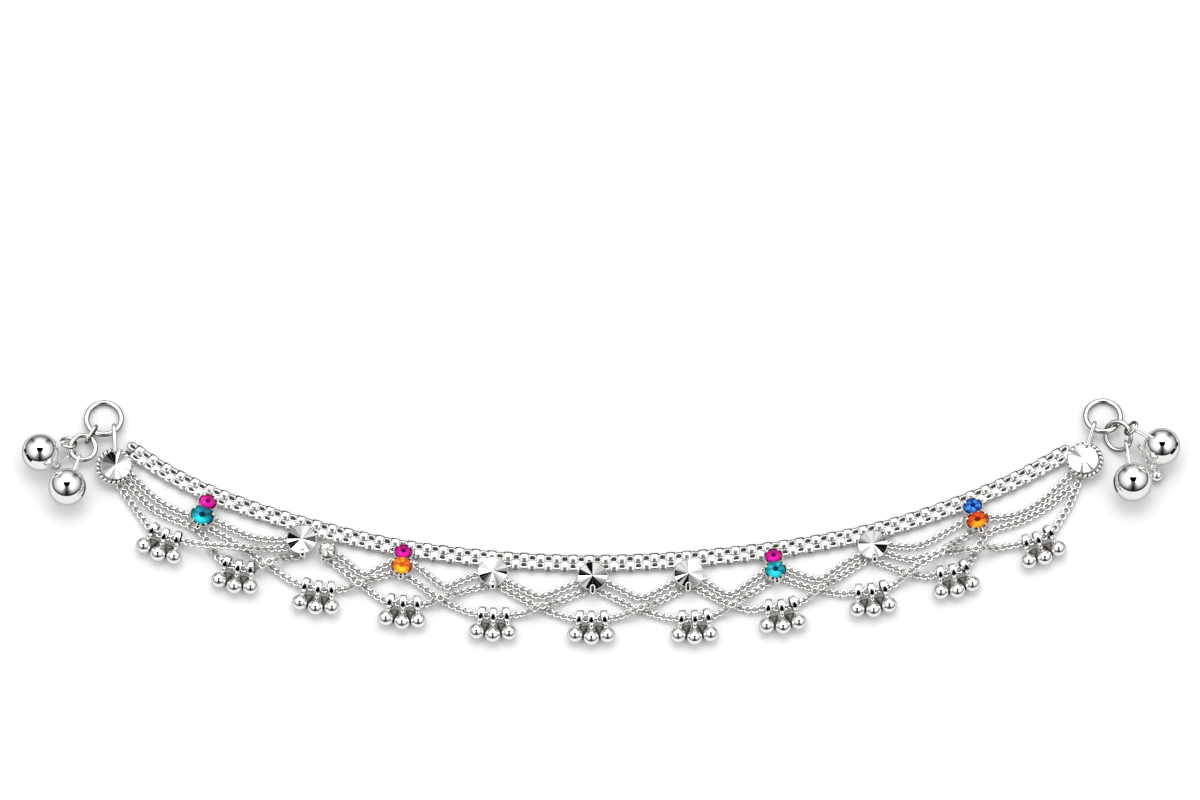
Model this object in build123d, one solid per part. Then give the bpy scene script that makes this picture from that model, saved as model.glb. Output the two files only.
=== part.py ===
from build123d import *

import math
import os

# Payal anklet, lying open on a flat surface in the crescent that it takes by itself.
# Millimetres. +X runs along the anklet, +Y towards its hollow side, +Z up from the surface at Z = 0.

# ---- driving dimensions ----
BAND_WIDTH = 3.75
BAND_THICK = 1.7
CHAIN_DIA = 1.6
GAP = 0.15  # running clearance between pieces that lie on or hold each other

LOW = CHAIN_DIA / 2 + 0.05  # height of a chain's centre where it lies on the surface
OVER = LOW + 1.35 * (CHAIN_DIA + GAP)  # where its route passes over another chain: its arc stays below the point
BAIL_INNER = CHAIN_DIA / 2 + 0.2
BAIL_OUTER = BAIL_INNER + 0.35
BAIL_LENGTH = 1.3
IN_BAIL = BAIL_OUTER + 0.05  # where it runs through the bells' bails
SEAT = BAND_THICK + GAP  # underside of everything that sits on the band

SMALL_BELL_DIA = 3.5
NECK_DIA = 0.8

DISC_RADIUS = 3.5
DISC_RIM = 0.5
DISC_RISE = 0.6
DISC_FACETS = 12
END_DISC_RADIUS = 3.8
COLLAR_WIRE = 0.9
COLLAR_SHIFT = 0.45  # the collar shows past the disc on its outer side

LOOP_LENGTH, LOOP_WIDTH, LOOP_THICK = 2.6, 1.4, 0.5
LOOP_SLOT = 0.5

SETTING_PLATE = 0.5
CLAW_DIA = 0.5
CLAW_HEIGHT = 1.25
STONE_RISE = 1.5  # from the plate to the top of the stone
STONE_SIDES = 10
UPPER_CLAW_ANGLES = (48, 132)
LOWER_CLAW_ANGLES = (28, 152, -52, -128)

BIG_BELL_WALL = 0.5
BIG_BELL_SLIT = 0.8
BAIL_WIRE = 0.7

# ---- stations along the band, from left to right: centre and turn about Z in degrees ----
STATIONS = (
    # kind, x, y, turn
    ("end_disc", -111.4, 12.5, 0),
    ("setting", -90.9, 2.3, -26),
    ("disc", -68.6, -5.0, 4),
    ("setting", -45.6, -9.6, -6),
    ("disc", -24.6, -12.6, 0),
    ("disc", -1.7, -13.7, 0),
    ("disc", 20.4, -13.1, -3),
    ("setting", 40.2, -10.6, 8),
    ("disc", 62.7, -6.2, 6),
    ("setting", 86.2, 1.2, 18),
    ("end_disc", 111.2, 14.0, 0),
)

# Stones of each setting, upper then lower: width and height, and how far each sits from the middle.
STONES = (
    # station, which, width, height, offset
    (1, "upper", 4.1, 3.2, 1.75),
    (1, "lower", 5.2, 4.0, -1.9),
    (3, "upper", 3.8, 3.0, 1.6),
    (3, "lower", 4.7, 3.8, -1.85),
    (7, "upper", 3.8, 3.0, 1.6),
    (7, "lower", 4.7, 3.8, -1.85),
    (9, "upper", 4.1, 3.1, 1.65),
    (9, "lower", 4.9, 3.8, -1.85),
)
CLEAR_STONE = (-62.6, -7.7)
CLEAR_STONE_DIA = 3.4

BAND_ROUTE = (
    (-109.3, 17.4),
    (-96.8, 9.1),
    (-82.0, 2.9),
    (-65.5, -2.2),
    (-48.5, -6.4),
    (-31.5, -8.8),
    (-14.5, -10.2),
    (2.5, -10.5),
    (19.0, -9.6),
    (35.5, -7.9),
    (52.0, -5.4),
    (68.0, -1.7),
    (83.5, 3.8),
    (97.5, 10.0),
    (108.6, 16.6),
)

# ---- short swags: one in each bay, from one station to the next ----
SHORT_SWAGS = (
    ((-107.9, 10.8), (-105.0, 7.4), (-101.2, 4.1), (-97.3, 2.0), (-93.4, 0.9)),
    ((-87.6, -0.6), (-84.2, -2.4), (-80.5, -4.0), (-76.5, -4.7), (-72.6, -4.5)),
    ((-60.2, -8.4), (-58.2, -9.9), (-55.6, -12.4), (-53.6, -13.2), (-51.4, -11.6), (-48.6, -10.3)),
    ((-42.9, -10.3), (-39.6, -12.9), (-37.3, -15.0), (-35.2, -16.1), (-33.0, -14.9), (-30.1, -13.6), (-27.8, -12.9)),
    ((-21.6, -14.6), (-17.0, -16.8), (-13.7, -18.5), (-10.3, -17.1), (-4.8, -14.7)),
    ((1.4, -14.7), (6.0, -17.2), (9.4, -18.8), (13.1, -17.1), (17.4, -14.5)),
    ((23.4, -14.1), (26.9, -16.6), (29.7, -18.1), (32.9, -16.1), (37.2, -12.6)),
    ((43.0, -11.7), (46.8, -13.4), (50.4, -14.4), (52.6, -12.9), (55.2, -10.9), (59.7, -8.3)),
    ((66.0, -5.9), (70.3, -6.5), (73.9, -6.0), (76.5, -4.7), (79.5, -2.9), (83.2, -0.6)),
    ((88.8, 0.6), (93.8, 0.6), (97.5, 1.8), (101.2, 4.1), (104.6, 7.0), (107.4, 9.8)),
)

# ---- chains that carry the bells: the way down to each bunch and the way up from it ----
# Neighbouring chains cross once, and one of the two is lifted over the other there.
CHAINS = (
    # down to the bunch, up from the bunch: x, y, height
    (
        ((-111.0, 8.7, LOW), (-108.4, 4.6, LOW), (-105.4, 0.8, LOW)),
        ((-92.0, -6.4, OVER), (-86.9, -6.7, OVER), (-81.2, -7.1, OVER), (-76.2, -6.9, LOW), (-71.4, -6.6, LOW)),
    ),
    (
        ((-108.3, 8.3, LOW), (-104.9, 4.0, LOW), (-100.3, 0.9, LOW), (-95.3, -0.9, LOW), (-91.6, -3.0, LOW),
         (-89.9, -5.6, LOW), (-88.3, -8.2, LOW)),
        ((-77.3, -11.2, OVER), (-74.5, -9.7, OVER), (-71.6, -8.9, LOW), (-69.2, -8.6, LOW)),
    ),
    (
        ((-88.8, -2.6, LOW), (-85.3, -4.6, LOW), (-82.0, -6.8, LOW), (-78.6, -9.2, LOW), (-75.6, -11.2, LOW),
         (-72.0, -13.9, LOW)),
        ((-58.4, -16.5, LOW), (-55.2, -15.3, OVER), (-51.4, -13.7, LOW), (-46.9, -12.5, LOW)),
    ),
    (
        ((-61.3, -10.3, LOW), (-58.2, -12.8, LOW), (-54.9, -15.3, LOW), (-51.3, -18.2, LOW)),
        ((-39.6, -20.1, LOW), (-36.4, -18.9, OVER), (-31.6, -16.9, LOW), (-26.2, -15.6, LOW)),
    ),
    (
        ((-44.6, -13.2, LOW), (-41.4, -15.4, LOW), (-38.3, -17.8, LOW), (-35.0, -19.9, LOW), (-31.3, -21.5, LOW)),
        ((-17.7, -22.3, LOW), (-13.6, -20.9, OVER), (-9.4, -19.3, LOW), (-3.2, -16.8, LOW)),
    ),
    (
        ((-22.8, -16.0, LOW), (-19.2, -18.0, LOW), (-15.2, -20.3, LOW), (-9.4, -22.6, LOW)),
        ((4.9, -22.9, LOW), (9.2, -21.2, OVER), (13.6, -19.4, LOW), (19.0, -16.4, LOW)),
    ),
    (
        ((-0.2, -16.9, LOW), (4.6, -19.3, LOW), (9.3, -21.4, LOW), (14.4, -23.0, LOW)),
        ((27.4, -22.3, LOW), (30.7, -20.3, OVER), (34.9, -17.3, LOW), (39.2, -14.4, LOW)),
    ),
    (
        ((22.2, -16.3, LOW), (26.0, -18.4, LOW), (30.0, -20.2, LOW), (34.6, -21.6, LOW)),
        ((47.2, -18.9, LOW), (50.6, -16.5, OVER), (54.3, -14.0, LOW), (61.2, -9.6, LOW)),
    ),
    (
        ((42.0, -13.9, LOW), (45.6, -15.3, LOW), (50.0, -16.6, LOW), (55.3, -17.6, LOW)),
        ((68.0, -15.1, LOW), (71.2, -12.7, OVER), (75.4, -9.7, OVER), (79.6, -7.1, OVER), (83.0, -4.7, LOW),
         (85.8, -2.6, LOW)),
    ),
    (
        ((64.0, -10.1, LOW), (67.6, -11.4, LOW), (71.0, -12.8, LOW), (75.1, -13.6, LOW)),
        ((85.6, -8.9, LOW), (87.0, -6.0, LOW), (88.5, -3.6, LOW), (91.5, -1.9, LOW), (95.5, -1.0, LOW),
         (99.7, 0.9, LOW), (103.6, 3.5, LOW), (107.4, 6.9, LOW)),
    ),
    (
        ((66.3, -8.0, LOW), (69.2, -9.1, LOW), (72.2, -9.5, LOW), (75.2, -8.3, LOW), (78.6, -7.6, LOW),
         (82.0, -7.4, LOW), (84.9, -7.4, OVER), (87.9, -7.3, OVER), (91.4, -6.7, LOW)),
        ((105.0, -1.4, LOW), (107.1, 1.9, LOW), (109.0, 5.6, LOW), (110.3, 9.2, LOW)),
    ),
)

# Middle bail of each bunch of bells, the turn of the bunch about Z, and the chain's slope on both sides of it.
BUNCHES = (
    # x, y, turn, slope to the left, slope to the right
    (-100.1, -4.1, -20.0, -27.0, -13.0),
    (-83.1, -11.6, -12.0, -21.0, -5.0),
    (-64.7, -16.6, -8.0, -15.0, -1.0),
    (-45.2, -20.0, -3.5, -9.0, 0.0),
    (-24.5, -23.0, -1.5, -7.0, 4.0),
    (-2.0, -23.7, 0.0, -3.5, 2.7),
    (21.5, -23.6, 2.5, -2.0, 9.0),
    (41.4, -21.1, 8.0, -5.0, 17.0),
    (62.1, -17.2, 9.0, 1.0, 14.0),
    (80.9, -12.7, 15.0, 5.0, 23.0),
    (100.4, -5.1, 24.0, 10.0, 31.0),
)
FLANK = 3.9  # the chain stays at the height of the bails for this far on both sides of the middle one
BAIL_SPACING = 3.0
BELL_OFFSETS = ((-3.75, -3.7), (0.0, -4.4), (3.75, -3.8))

# ---- end fittings ----
END_RING_RADIUS = 4.0  # to the middle of the wire
END_RING_WIRE = 1.2
LEFT_RING = (-114.4, 24.0)
RIGHT_RING = (116.0, 24.5)
LEFT_LIFT = 1.9  # height of the end ring's wire where the fittings hold it
RIGHT_LIFT = 2.54
EYE_ANGLES = (308, 233)  # where each end disc's eye holds its ring, left then right
CONNECTOR_ANGLE = 233
MEDIUM_RADIUS = 2.9
MEDIUM_WIRE = 0.9
LEFT_MEDIUM = (-119.1, 16.9)
RIGHT_MEDIUM_RADIUS = 3.3
RIGHT_MEDIUM_TILT = 39  # the right one leans, and passes through the end ring
JUMP_RADIUS = 1.7
JUMP_WIRE = 0.7
LEFT_BELLS = ((-122.5, 7.0), (-128.8, 15.2))
RIGHT_BELLS = ((122.5, 8.1), (129.3, 16.6))
BIG_BELL_DIAS = (8.7, 8.6, 9.0, 8.5)  # left lower, left outer, right lower, right outer
DROP_BALL_DIA = 2.9
DROP_BEAD_DIA = 1.8
DROP_BALL = (128.2, 10.4)
DROP_STRAND = ((123.9, 17.8, 2.3), (124.6, 16.1, 2.1), (125.4, 14.4, 2.0), (127.3, 12.3, 1.8))
LEFT_JUMP_ANGLE = 160
LEFT_KNOB_ANGLE = 208
LEFT_KNOB = (-125.2, 12.9)
RIGHT_JUMP_ANGLE = 80
RING_ROOM = END_RING_WIRE / 2 + BAIL_WIRE / 2 + 0.4  # from an end ring's wire to a link that holds it
UP = Vector(0, 0, 1)


def unit(vector):
    return vector.normalized()


# ---- builders ----
def corner_radii(points):
    """The largest arc that fits each corner of a route: it takes 0.45 of the shorter run."""
    radii = []
    for before, here, after in zip(points, points[1:], points[2:]):
        run_in, run_out = here - before, after - here
        half_turn = math.radians(run_in.get_angle(run_out)) / 2
        radii.append(0.45 * min(run_in.length, run_out.length) / math.tan(half_turn))
    return radii


def smooth_route(points):
    """Straight runs joined by tangent arcs."""
    points = [Vector(*p) for p in points]
    return FilletPolyline(*points, radius=corner_radii(points))


def tube(path, diameter):
    start = Plane(path @ 0, z_dir=path % 0)
    return sweep(start * Circle(diameter / 2), path=path)


def rod(start, end, diameter):
    """A round rod from one point to another."""
    along = end - start
    return extrude(Plane(start, z_dir=along) * Circle(diameter / 2), amount=along.length)


def ring(centre, radius, wire, normal=UP):
    """A round ring of wire. The radius is to the middle of the wire."""
    return Plane(centre, z_dir=normal) * Torus(radius, wire / 2)


def oval_link(start, end, room, wire):
    """A long link that holds a wire at each of its ends, standing on edge. The room is from the held wire's
    middle to the link's own middle."""
    along = end - start
    side = along.cross(UP)
    plane = Plane((start + end) / 2, x_dir=along, z_dir=side)
    path = (plane * SlotCenterToCenter(along.length, 2 * room)).wire()
    return sweep(Plane(path @ 0, z_dir=path % 0) * Circle(wire / 2), path=path)


def save(name, shape):
    shape.label = name
    export_step(shape, f"parts/{name}.step")
    print(f"{name}: {shape.volume:.1f} mm3")


# ---- chains ----
def build_band():
    route = smooth_route([(x, y, BAND_THICK / 2) for x, y in BAND_ROUTE])
    start = Plane(route @ 0, x_dir=UP, z_dir=route % 0)
    section = start * RectangleRounded(BAND_THICK, BAND_WIDTH, BAND_THICK * 0.4)
    save("band_chain", sweep(section, path=route))


def build_short_swags():
    swags = [tube(smooth_route([(x, y, LOW) for x, y in bay]), CHAIN_DIA) for bay in SHORT_SWAGS]
    save("short_swags", Compound(children=swags))


def bunch_place(bunch, slope=None):
    x, y, turn = bunch[:3]
    return Pos(x, y, 0) * Rot(0, 0, turn if slope is None else slope)


def chain_points(number):
    """A bell chain's corners: down from its first station, through the bails, up to its last station."""
    down, up = CHAINS[number]
    bunch = BUNCHES[number]
    left, right = bunch[3:]
    before = (bunch_place(bunch, left) * Pos(-FLANK, 0, IN_BAIL)).position
    middle = (bunch_place(bunch) * Pos(0, 0, IN_BAIL)).position
    after = (bunch_place(bunch, right) * Pos(FLANK, 0, IN_BAIL)).position
    return [*down, before, middle, after, *up]


def build_bell_chain(number, route):
    save(f"bell_chain_{number + 1:02d}", tube(route, CHAIN_DIA))


def route_at_x(route, x):
    """The fraction of its length at which a route reaches an X, for a route that only runs to the right."""
    low, high = 0.0, 1.0
    for _ in range(40):
        middle = (low + high) / 2
        if (route @ middle).X < x:
            low = middle
        else:
            high = middle
    return low


# ---- bells ----
def small_bell(bail_at, along, ball_at):
    """A ball, its neck and the strap bail that goes round the chain."""
    tunnel = Plane(bail_at, z_dir=along)
    outer = tunnel * Cylinder(BAIL_OUTER, BAIL_LENGTH)
    bore = tunnel * Cylinder(BAIL_INNER, BAIL_LENGTH * 2)
    to_bail = bail_at - ball_at
    neck_end = ball_at + unit(to_bail) * (to_bail.length - (BAIL_INNER + BAIL_OUTER) / 2)
    ball = Pos(*ball_at) * Sphere(SMALL_BELL_DIA / 2)
    return (outer - bore) + rod(ball_at, neck_end, NECK_DIA) + ball


def build_bunch(number, route):
    place = bunch_place(BUNCHES[number])
    bells = []
    for index, (dx, dy) in enumerate(BELL_OFFSETS):
        bail_x = (place * Pos((index - 1) * BAIL_SPACING, 0, 0)).position.X
        share = route_at_x(route, bail_x)
        ball_at = (place * Pos(dx, dy, SMALL_BELL_DIA / 2)).position
        bells.append(small_bell(route @ share, route % share, ball_at))
    save(f"bell_bunch_{number + 1:02d}", Compound(children=bells))


def big_bell(centre, diameter, grip, room, facing, along):
    """A hollow ball with a slit in its side, and a long bail that holds the wire at the grip point. The slit
    faces one way and runs along another."""
    radius = diameter / 2
    inward = unit(Vector(centre.X - grip.X, centre.Y - grip.Y, 0))
    root = centre - inward * (radius * 0.62) + UP * (grip.Z - centre.Z)
    facing = unit(Vector(*facing))
    run = facing.cross(Vector(*along)).cross(facing)
    middle = Plane(centre, x_dir=facing * -1, z_dir=run)
    hollow = middle * Sphere(radius - BIG_BELL_WALL)
    bail = oval_link(grip, root, room, BAIL_WIRE) - hollow
    slit = middle * Pos(-radius, 0, 0) * Box(radius, BIG_BELL_SLIT, radius * 0.8)
    return (middle * Sphere(radius) - hollow - slit) + bail


# ---- discs ----
def back_loop(reach, foot):
    """The flat loop at the lower edge that the chains hang from."""
    outline = SlotOverall(LOOP_LENGTH, LOOP_WIDTH, rotation=90)
    slot = SlotOverall(LOOP_LENGTH - LOOP_WIDTH + LOOP_SLOT, LOOP_SLOT, rotation=90)
    return Pos(0, -reach, foot) * extrude(outline - slot, amount=LOOP_THICK)


def faceted_disc(radius, foot):
    """A mirror disc: a thin rim, and facets that rise to a point."""
    rim = Pos(0, 0, foot) * extrude(Circle(radius), amount=DISC_RIM)
    base = Plane((0, 0, foot + DISC_RIM)) * RegularPolygon(radius * 0.97, DISC_FACETS)
    tip = Plane((0, 0, foot + DISC_RIM + DISC_RISE)) * RegularPolygon(0.08, DISC_FACETS)
    return rim + loft([base, tip])


def build_disc(number, station):
    _, x, y, turn = station
    disc = faceted_disc(DISC_RADIUS, SEAT) + back_loop(DISC_RADIUS + LOOP_WIDTH * 0.35, SEAT)
    save(f"disc_{number:02d}", Pos(x, y, 0) * Rot(0, 0, turn) * disc)


def build_end_disc(name, station, outward, eye_grip):
    """A larger disc on a wire collar that shows on its outer side, with the eye that holds the end ring."""
    _, x, y, turn = station
    centre = Vector(x, y, 0)
    collar_at = centre + Vector(outward * COLLAR_SHIFT, -0.6 * COLLAR_SHIFT, SEAT + COLLAR_WIRE / 2)
    collar = ring(collar_at, END_DISC_RADIUS - 0.15, COLLAR_WIRE)
    back = Pos(x, y, SEAT) * extrude(Circle(END_DISC_RADIUS - 0.4), amount=COLLAR_WIRE / 2)
    disc = Pos(x, y, 0) * Rot(0, 0, turn) * faceted_disc(END_DISC_RADIUS, SEAT + COLLAR_WIRE / 2)
    toward_ring = unit(Vector(eye_grip.X - x, eye_grip.Y - y, 0))
    root = centre + toward_ring * (END_DISC_RADIUS + 0.15) + UP * SEAT
    eye = oval_link(eye_grip, root, RING_ROOM, BAIL_WIRE)
    save(name, eye + back + disc + collar)


# ---- settings and stones ----
def stone_outline(width, height, share, z):
    """One level of a stone: a polygon inside an ellipse."""
    corners = []
    for step in range(STONE_SIDES):
        angle = 2 * math.pi * (step + 0.5) / STONE_SIDES
        corners.append((width / 2 * share * math.cos(angle), height / 2 * share * math.sin(angle)))
    return Plane((0, 0, z)) * Polygon(*corners, align=None)


def faceted_stone(width, height, foot):
    """A cut stone: it widens to its girdle, and its crown closes in to a flat table."""
    levels = [
        stone_outline(width, height, 0.6, foot),
        stone_outline(width, height, 1.0, foot + STONE_RISE * 0.45),
        stone_outline(width, height, 0.5, foot + STONE_RISE),
    ]
    return loft(levels[:2], ruled=True) + loft(levels[1:], ruled=True)


def claw_places(stone, angles):
    """Places round a stone's girdle, just outside it."""
    _, _, width, height, offset = stone
    places = []
    for angle in angles:
        turn = math.radians(angle)
        on_edge = Vector(width / 2 * math.cos(turn), height / 2 * math.sin(turn))
        outward = unit(Vector(math.cos(turn) / width, math.sin(turn) / height))
        places.append(on_edge + outward * (CLAW_DIA / 2 + 0.06) + Vector(0, offset))
    return places


def build_setting(number, station, stones):
    """An oval plate with claws round its two stones, and a loop below for the chains."""
    _, x, y, turn = station
    upper, lower = stones
    ovals = [Pos(0, offset) * Ellipse(width / 2 + 0.15, height / 2 + 0.15) for _, _, width, height, offset in stones]
    plate = make_hull([edge for oval in ovals for edge in oval.edges()])
    claws = claw_places(upper, UPPER_CLAW_ANGLES) + claw_places(lower, LOWER_CLAW_ANGLES)
    for claw in claws:
        plate += Pos(*claw) * Circle(CLAW_DIA / 2 + 0.08)
    setting = Pos(0, 0, SEAT) * extrude(plate, amount=SETTING_PLATE)
    for claw in claws:
        setting += Pos(claw.X, claw.Y, SEAT) * extrude(Circle(CLAW_DIA / 2), amount=SETTING_PLATE + CLAW_HEIGHT)
    reach = lower[3] / 2 - lower[4] + LOOP_WIDTH * 0.4
    setting += back_loop(reach, SEAT)
    place = Pos(x, y, 0) * Rot(0, 0, turn)
    save(f"setting_{number:02d}", place * setting)
    for _, which, width, height, offset in stones:
        stone = Pos(0, offset, 0) * faceted_stone(width, height, SEAT + SETTING_PLATE + 0.05)
        save(f"stone_{number:02d}_{which}", place * stone)


def build_clear_stone():
    """A single round stone in a small cup with four claws."""
    place = Pos(*CLEAR_STONE, 0)
    radius = CLEAR_STONE_DIA / 2
    cup = extrude(Circle(radius + 0.15), amount=SETTING_PLATE)
    for quarter in range(4):
        claw = Rot(0, 0, 45 + 90 * quarter) * Pos(radius + CLAW_DIA / 2 + 0.1, 0)
        cup += claw * extrude(Circle(CLAW_DIA / 2), amount=SETTING_PLATE + CLAW_HEIGHT * 0.8)
        cup += claw * extrude(Circle(CLAW_DIA / 2 + 0.12), amount=SETTING_PLATE)
    cup += Rot(0, 0, -25) * back_loop(radius + LOOP_WIDTH * 0.55, 0)
    save("clear_setting", place * Pos(0, 0, SEAT) * cup)
    foot = SEAT + SETTING_PLATE + 0.05
    save("stone_clear", place * faceted_stone(CLEAR_STONE_DIA, CLEAR_STONE_DIA, foot))


# ---- end fittings ----
def end_ring_plane(place, lift):
    """The plane of an end ring: its far side lies on the surface and its near side is lifted."""
    rest = END_RING_WIRE / 2 + 0.02
    tilt = math.asin((lift - rest) / (2 * END_RING_RADIUS))
    centre = Vector(*place, (lift + rest) / 2)
    return Plane(centre, x_dir=(1, 0, 0), z_dir=(0, math.sin(tilt), math.cos(tilt)))


def on_ring(plane, radius, angle):
    """The middle of a ring's wire at an angle from its plane's X."""
    turn = math.radians(angle)
    return plane.from_local_coords(Vector(radius * math.cos(turn), radius * math.sin(turn), 0))


def leaning_ring_plane(held_by, lift):
    """The right medium ring's plane: it passes through the end ring and leans across it."""
    away = unit(Vector(0.565, -0.825, 0))
    reach = END_RING_RADIUS + RIGHT_MEDIUM_RADIUS - END_RING_WIRE / 2 - MEDIUM_WIRE / 2 - 0.28
    centre = Vector(*held_by, lift) + away * reach
    lean = math.radians(RIGHT_MEDIUM_TILT)
    return Plane(centre, x_dir=away, z_dir=UP * math.cos(lean) + away.cross(UP) * math.sin(lean))


def jump_plane(wire_at, outward, wire_along, twist):
    """The plane of a jump ring that holds a wire and reaches outward from it."""
    centre = wire_at + outward * (JUMP_RADIUS - JUMP_WIRE / 2 - MEDIUM_WIRE / 2 - 0.25)
    across = outward.cross(wire_along)
    turn = math.radians(twist)
    second = wire_along * math.cos(turn) + across * math.sin(turn)
    return Plane(centre, x_dir=outward, z_dir=outward.cross(second))


def build_left_end():
    big = end_ring_plane(LEFT_RING, LEFT_LIFT)
    save("end_ring_left", ring(big.origin, END_RING_RADIUS, END_RING_WIRE, big.z_dir))
    build_end_disc("end_disc_left", STATIONS[0], -1, on_ring(big, END_RING_RADIUS, EYE_ANGLES[0]))

    medium = Plane((*LEFT_MEDIUM, LEFT_LIFT))
    save("medium_ring_left", ring(medium.origin, MEDIUM_RADIUS, MEDIUM_WIRE))
    grip = on_ring(big, END_RING_RADIUS, CONNECTOR_ANGLE)
    toward = unit(Vector(grip.X - medium.origin.X, grip.Y - medium.origin.Y, 0))
    held = medium.origin + toward * MEDIUM_RADIUS
    save("connector_left", oval_link(grip, held, RING_ROOM, BAIL_WIRE))

    jump_angle = math.radians(LEFT_JUMP_ANGLE)
    outward = Vector(math.cos(jump_angle), math.sin(jump_angle), 0)
    wire_along = UP.cross(outward)
    jump = jump_plane(medium.origin + outward * MEDIUM_RADIUS, outward, wire_along, 40)
    save("jump_ring_left", ring(jump.origin, JUMP_RADIUS, JUMP_WIRE, jump.z_dir))

    lower, outer = (Vector(*place, dia / 2) for place, dia in zip(LEFT_BELLS, BIG_BELL_DIAS[:2]))
    toward = unit(Vector(lower.X - medium.origin.X, lower.Y - medium.origin.Y, 0))
    grip = medium.origin + toward * MEDIUM_RADIUS
    room = MEDIUM_WIRE / 2 + GAP + BAIL_WIRE / 2
    save("bell_left_lower", big_bell(lower, BIG_BELL_DIAS[0], grip, room, (0.9, -0.2, 0.25), (0, 1, 0)))
    grip = on_ring(jump, JUMP_RADIUS, 45)
    save("bell_left_outer", big_bell(outer, BIG_BELL_DIAS[1], grip, 1.0, (-0.67, -0.34, 0.65), (0.5, -0.8, 0)))

    small_angle = math.radians(LEFT_KNOB_ANGLE)
    outward = Vector(math.cos(small_angle), math.sin(small_angle), 0)
    threaded_at = medium.origin + outward * MEDIUM_RADIUS
    small = ring(threaded_at, 0.85, 0.32, UP.cross(outward) + UP * 0.8)
    bead_at = Vector(*LEFT_KNOB, DROP_BEAD_DIA / 2 + 0.1)
    stem_top = threaded_at + unit(bead_at - threaded_at) * 0.85
    knob = small + rod(bead_at, stem_top, 0.5) + Pos(*bead_at) * Sphere(DROP_BEAD_DIA / 2)
    save("knob_left", knob)


def build_right_end():
    big = end_ring_plane(RIGHT_RING, RIGHT_LIFT)
    save("end_ring_right", ring(big.origin, END_RING_RADIUS, END_RING_WIRE, big.z_dir))
    build_end_disc("end_disc_right", STATIONS[-1], 1, on_ring(big, END_RING_RADIUS, EYE_ANGLES[1]))

    medium = leaning_ring_plane(RIGHT_RING, RIGHT_LIFT)
    save("medium_ring_right", ring(medium.origin, RIGHT_MEDIUM_RADIUS, MEDIUM_WIRE, medium.z_dir))

    held = on_ring(medium, RIGHT_MEDIUM_RADIUS, RIGHT_JUMP_ANGLE)
    outward = unit(held - medium.origin)
    jump = jump_plane(held, outward, medium.z_dir.cross(outward), -50)
    save("jump_ring_right", ring(jump.origin, JUMP_RADIUS, JUMP_WIRE, jump.z_dir))

    lower, outer = (Vector(*place, dia / 2) for place, dia in zip(RIGHT_BELLS, BIG_BELL_DIAS[2:]))
    grip = on_ring(medium, RIGHT_MEDIUM_RADIUS, 0)
    save("bell_right_lower", big_bell(lower, BIG_BELL_DIAS[2], grip, 1.55, (-0.9, -0.2, 0.25), (0, 1, 0)))
    grip = on_ring(jump, JUMP_RADIUS, -42)
    save("bell_right_outer", big_bell(outer, BIG_BELL_DIAS[3], grip, 1.0, (0.7, -0.28, 0.66), (0.63, 0.78, 0)))

    ball_at = Vector(*DROP_BALL, DROP_BALL_DIA / 2)
    bead_at = Vector(*DROP_STRAND[-1])
    strand = tube(smooth_route(DROP_STRAND), 0.9)
    drop = strand + Pos(*bead_at) * Sphere(DROP_BEAD_DIA / 2) + Pos(*ball_at) * Sphere(DROP_BALL_DIA / 2)
    save("drop_right", drop)


# ---- the anklet ----
def build_stations():
    for number, station in enumerate(STATIONS, start=1):
        if station[0] == "disc":
            build_disc(number, station)
        elif station[0] == "setting":
            stones = [stone for stone in STONES if stone[0] == number - 1]
            build_setting(number, station, stones)


def print_radii():
    """The bend radii of every chain, in chain widths."""
    chains = [("band", BAND_WIDTH, [(x, y, 0) for x, y in BAND_ROUTE])]
    for number, bay in enumerate(SHORT_SWAGS, start=1):
        chains.append((f"short swag {number}", CHAIN_DIA, [(x, y, 0) for x, y in bay]))
    for number in range(len(CHAINS)):
        chains.append((f"bell chain {number + 1}", CHAIN_DIA, chain_points(number)))
    for name, width, points in chains:
        radii = corner_radii([Vector(*point) for point in points])
        print(name, "bend radii in its own widths", [round(radius / width, 1) for radius in radii])


def main():
    os.makedirs("parts", exist_ok=True)
    build_band()
    build_short_swags()
    for number in range(len(CHAINS)):
        route = smooth_route(chain_points(number))
        build_bell_chain(number, route)
        build_bunch(number, route)
    build_stations()
    build_clear_stone()
    build_left_end()
    build_right_end()
    print_radii()


if __name__ == "__main__":
    main()
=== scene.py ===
"""Payal anklet: the looks of every piece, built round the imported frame.

Lengths are in millimetres until a mesh is made. +X runs along the anklet, +Y to its hollow side, +Z up.
"""

import logging
import math
import random
from dataclasses import dataclass, field, replace
from enum import Enum
from typing import Any, Iterable, Mapping, Sequence

import bpy
import numpy as np
from mathutils import Matrix, Vector


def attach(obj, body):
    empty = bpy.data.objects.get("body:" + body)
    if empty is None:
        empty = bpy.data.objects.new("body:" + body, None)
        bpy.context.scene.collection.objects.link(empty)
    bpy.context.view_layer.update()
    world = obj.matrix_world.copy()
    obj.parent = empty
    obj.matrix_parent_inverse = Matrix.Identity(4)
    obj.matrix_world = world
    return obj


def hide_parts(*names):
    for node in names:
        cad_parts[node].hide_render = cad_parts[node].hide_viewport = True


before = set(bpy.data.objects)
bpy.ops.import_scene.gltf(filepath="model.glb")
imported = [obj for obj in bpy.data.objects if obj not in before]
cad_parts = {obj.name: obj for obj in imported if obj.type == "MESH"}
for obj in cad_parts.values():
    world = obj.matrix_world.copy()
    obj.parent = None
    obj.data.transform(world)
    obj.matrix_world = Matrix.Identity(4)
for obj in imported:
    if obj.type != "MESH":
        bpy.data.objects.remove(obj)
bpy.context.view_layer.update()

LOG = logging.getLogger("anklet")
MM = 0.001
UP = Vector((0, 0, 1))
RIGHT = Vector((1, 0, 0))
BODY = "root"
Point = Sequence[float]
Pair = tuple[float, float]
Triple = tuple[float, float, float]
Change = tuple[float, float, float, float]

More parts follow.
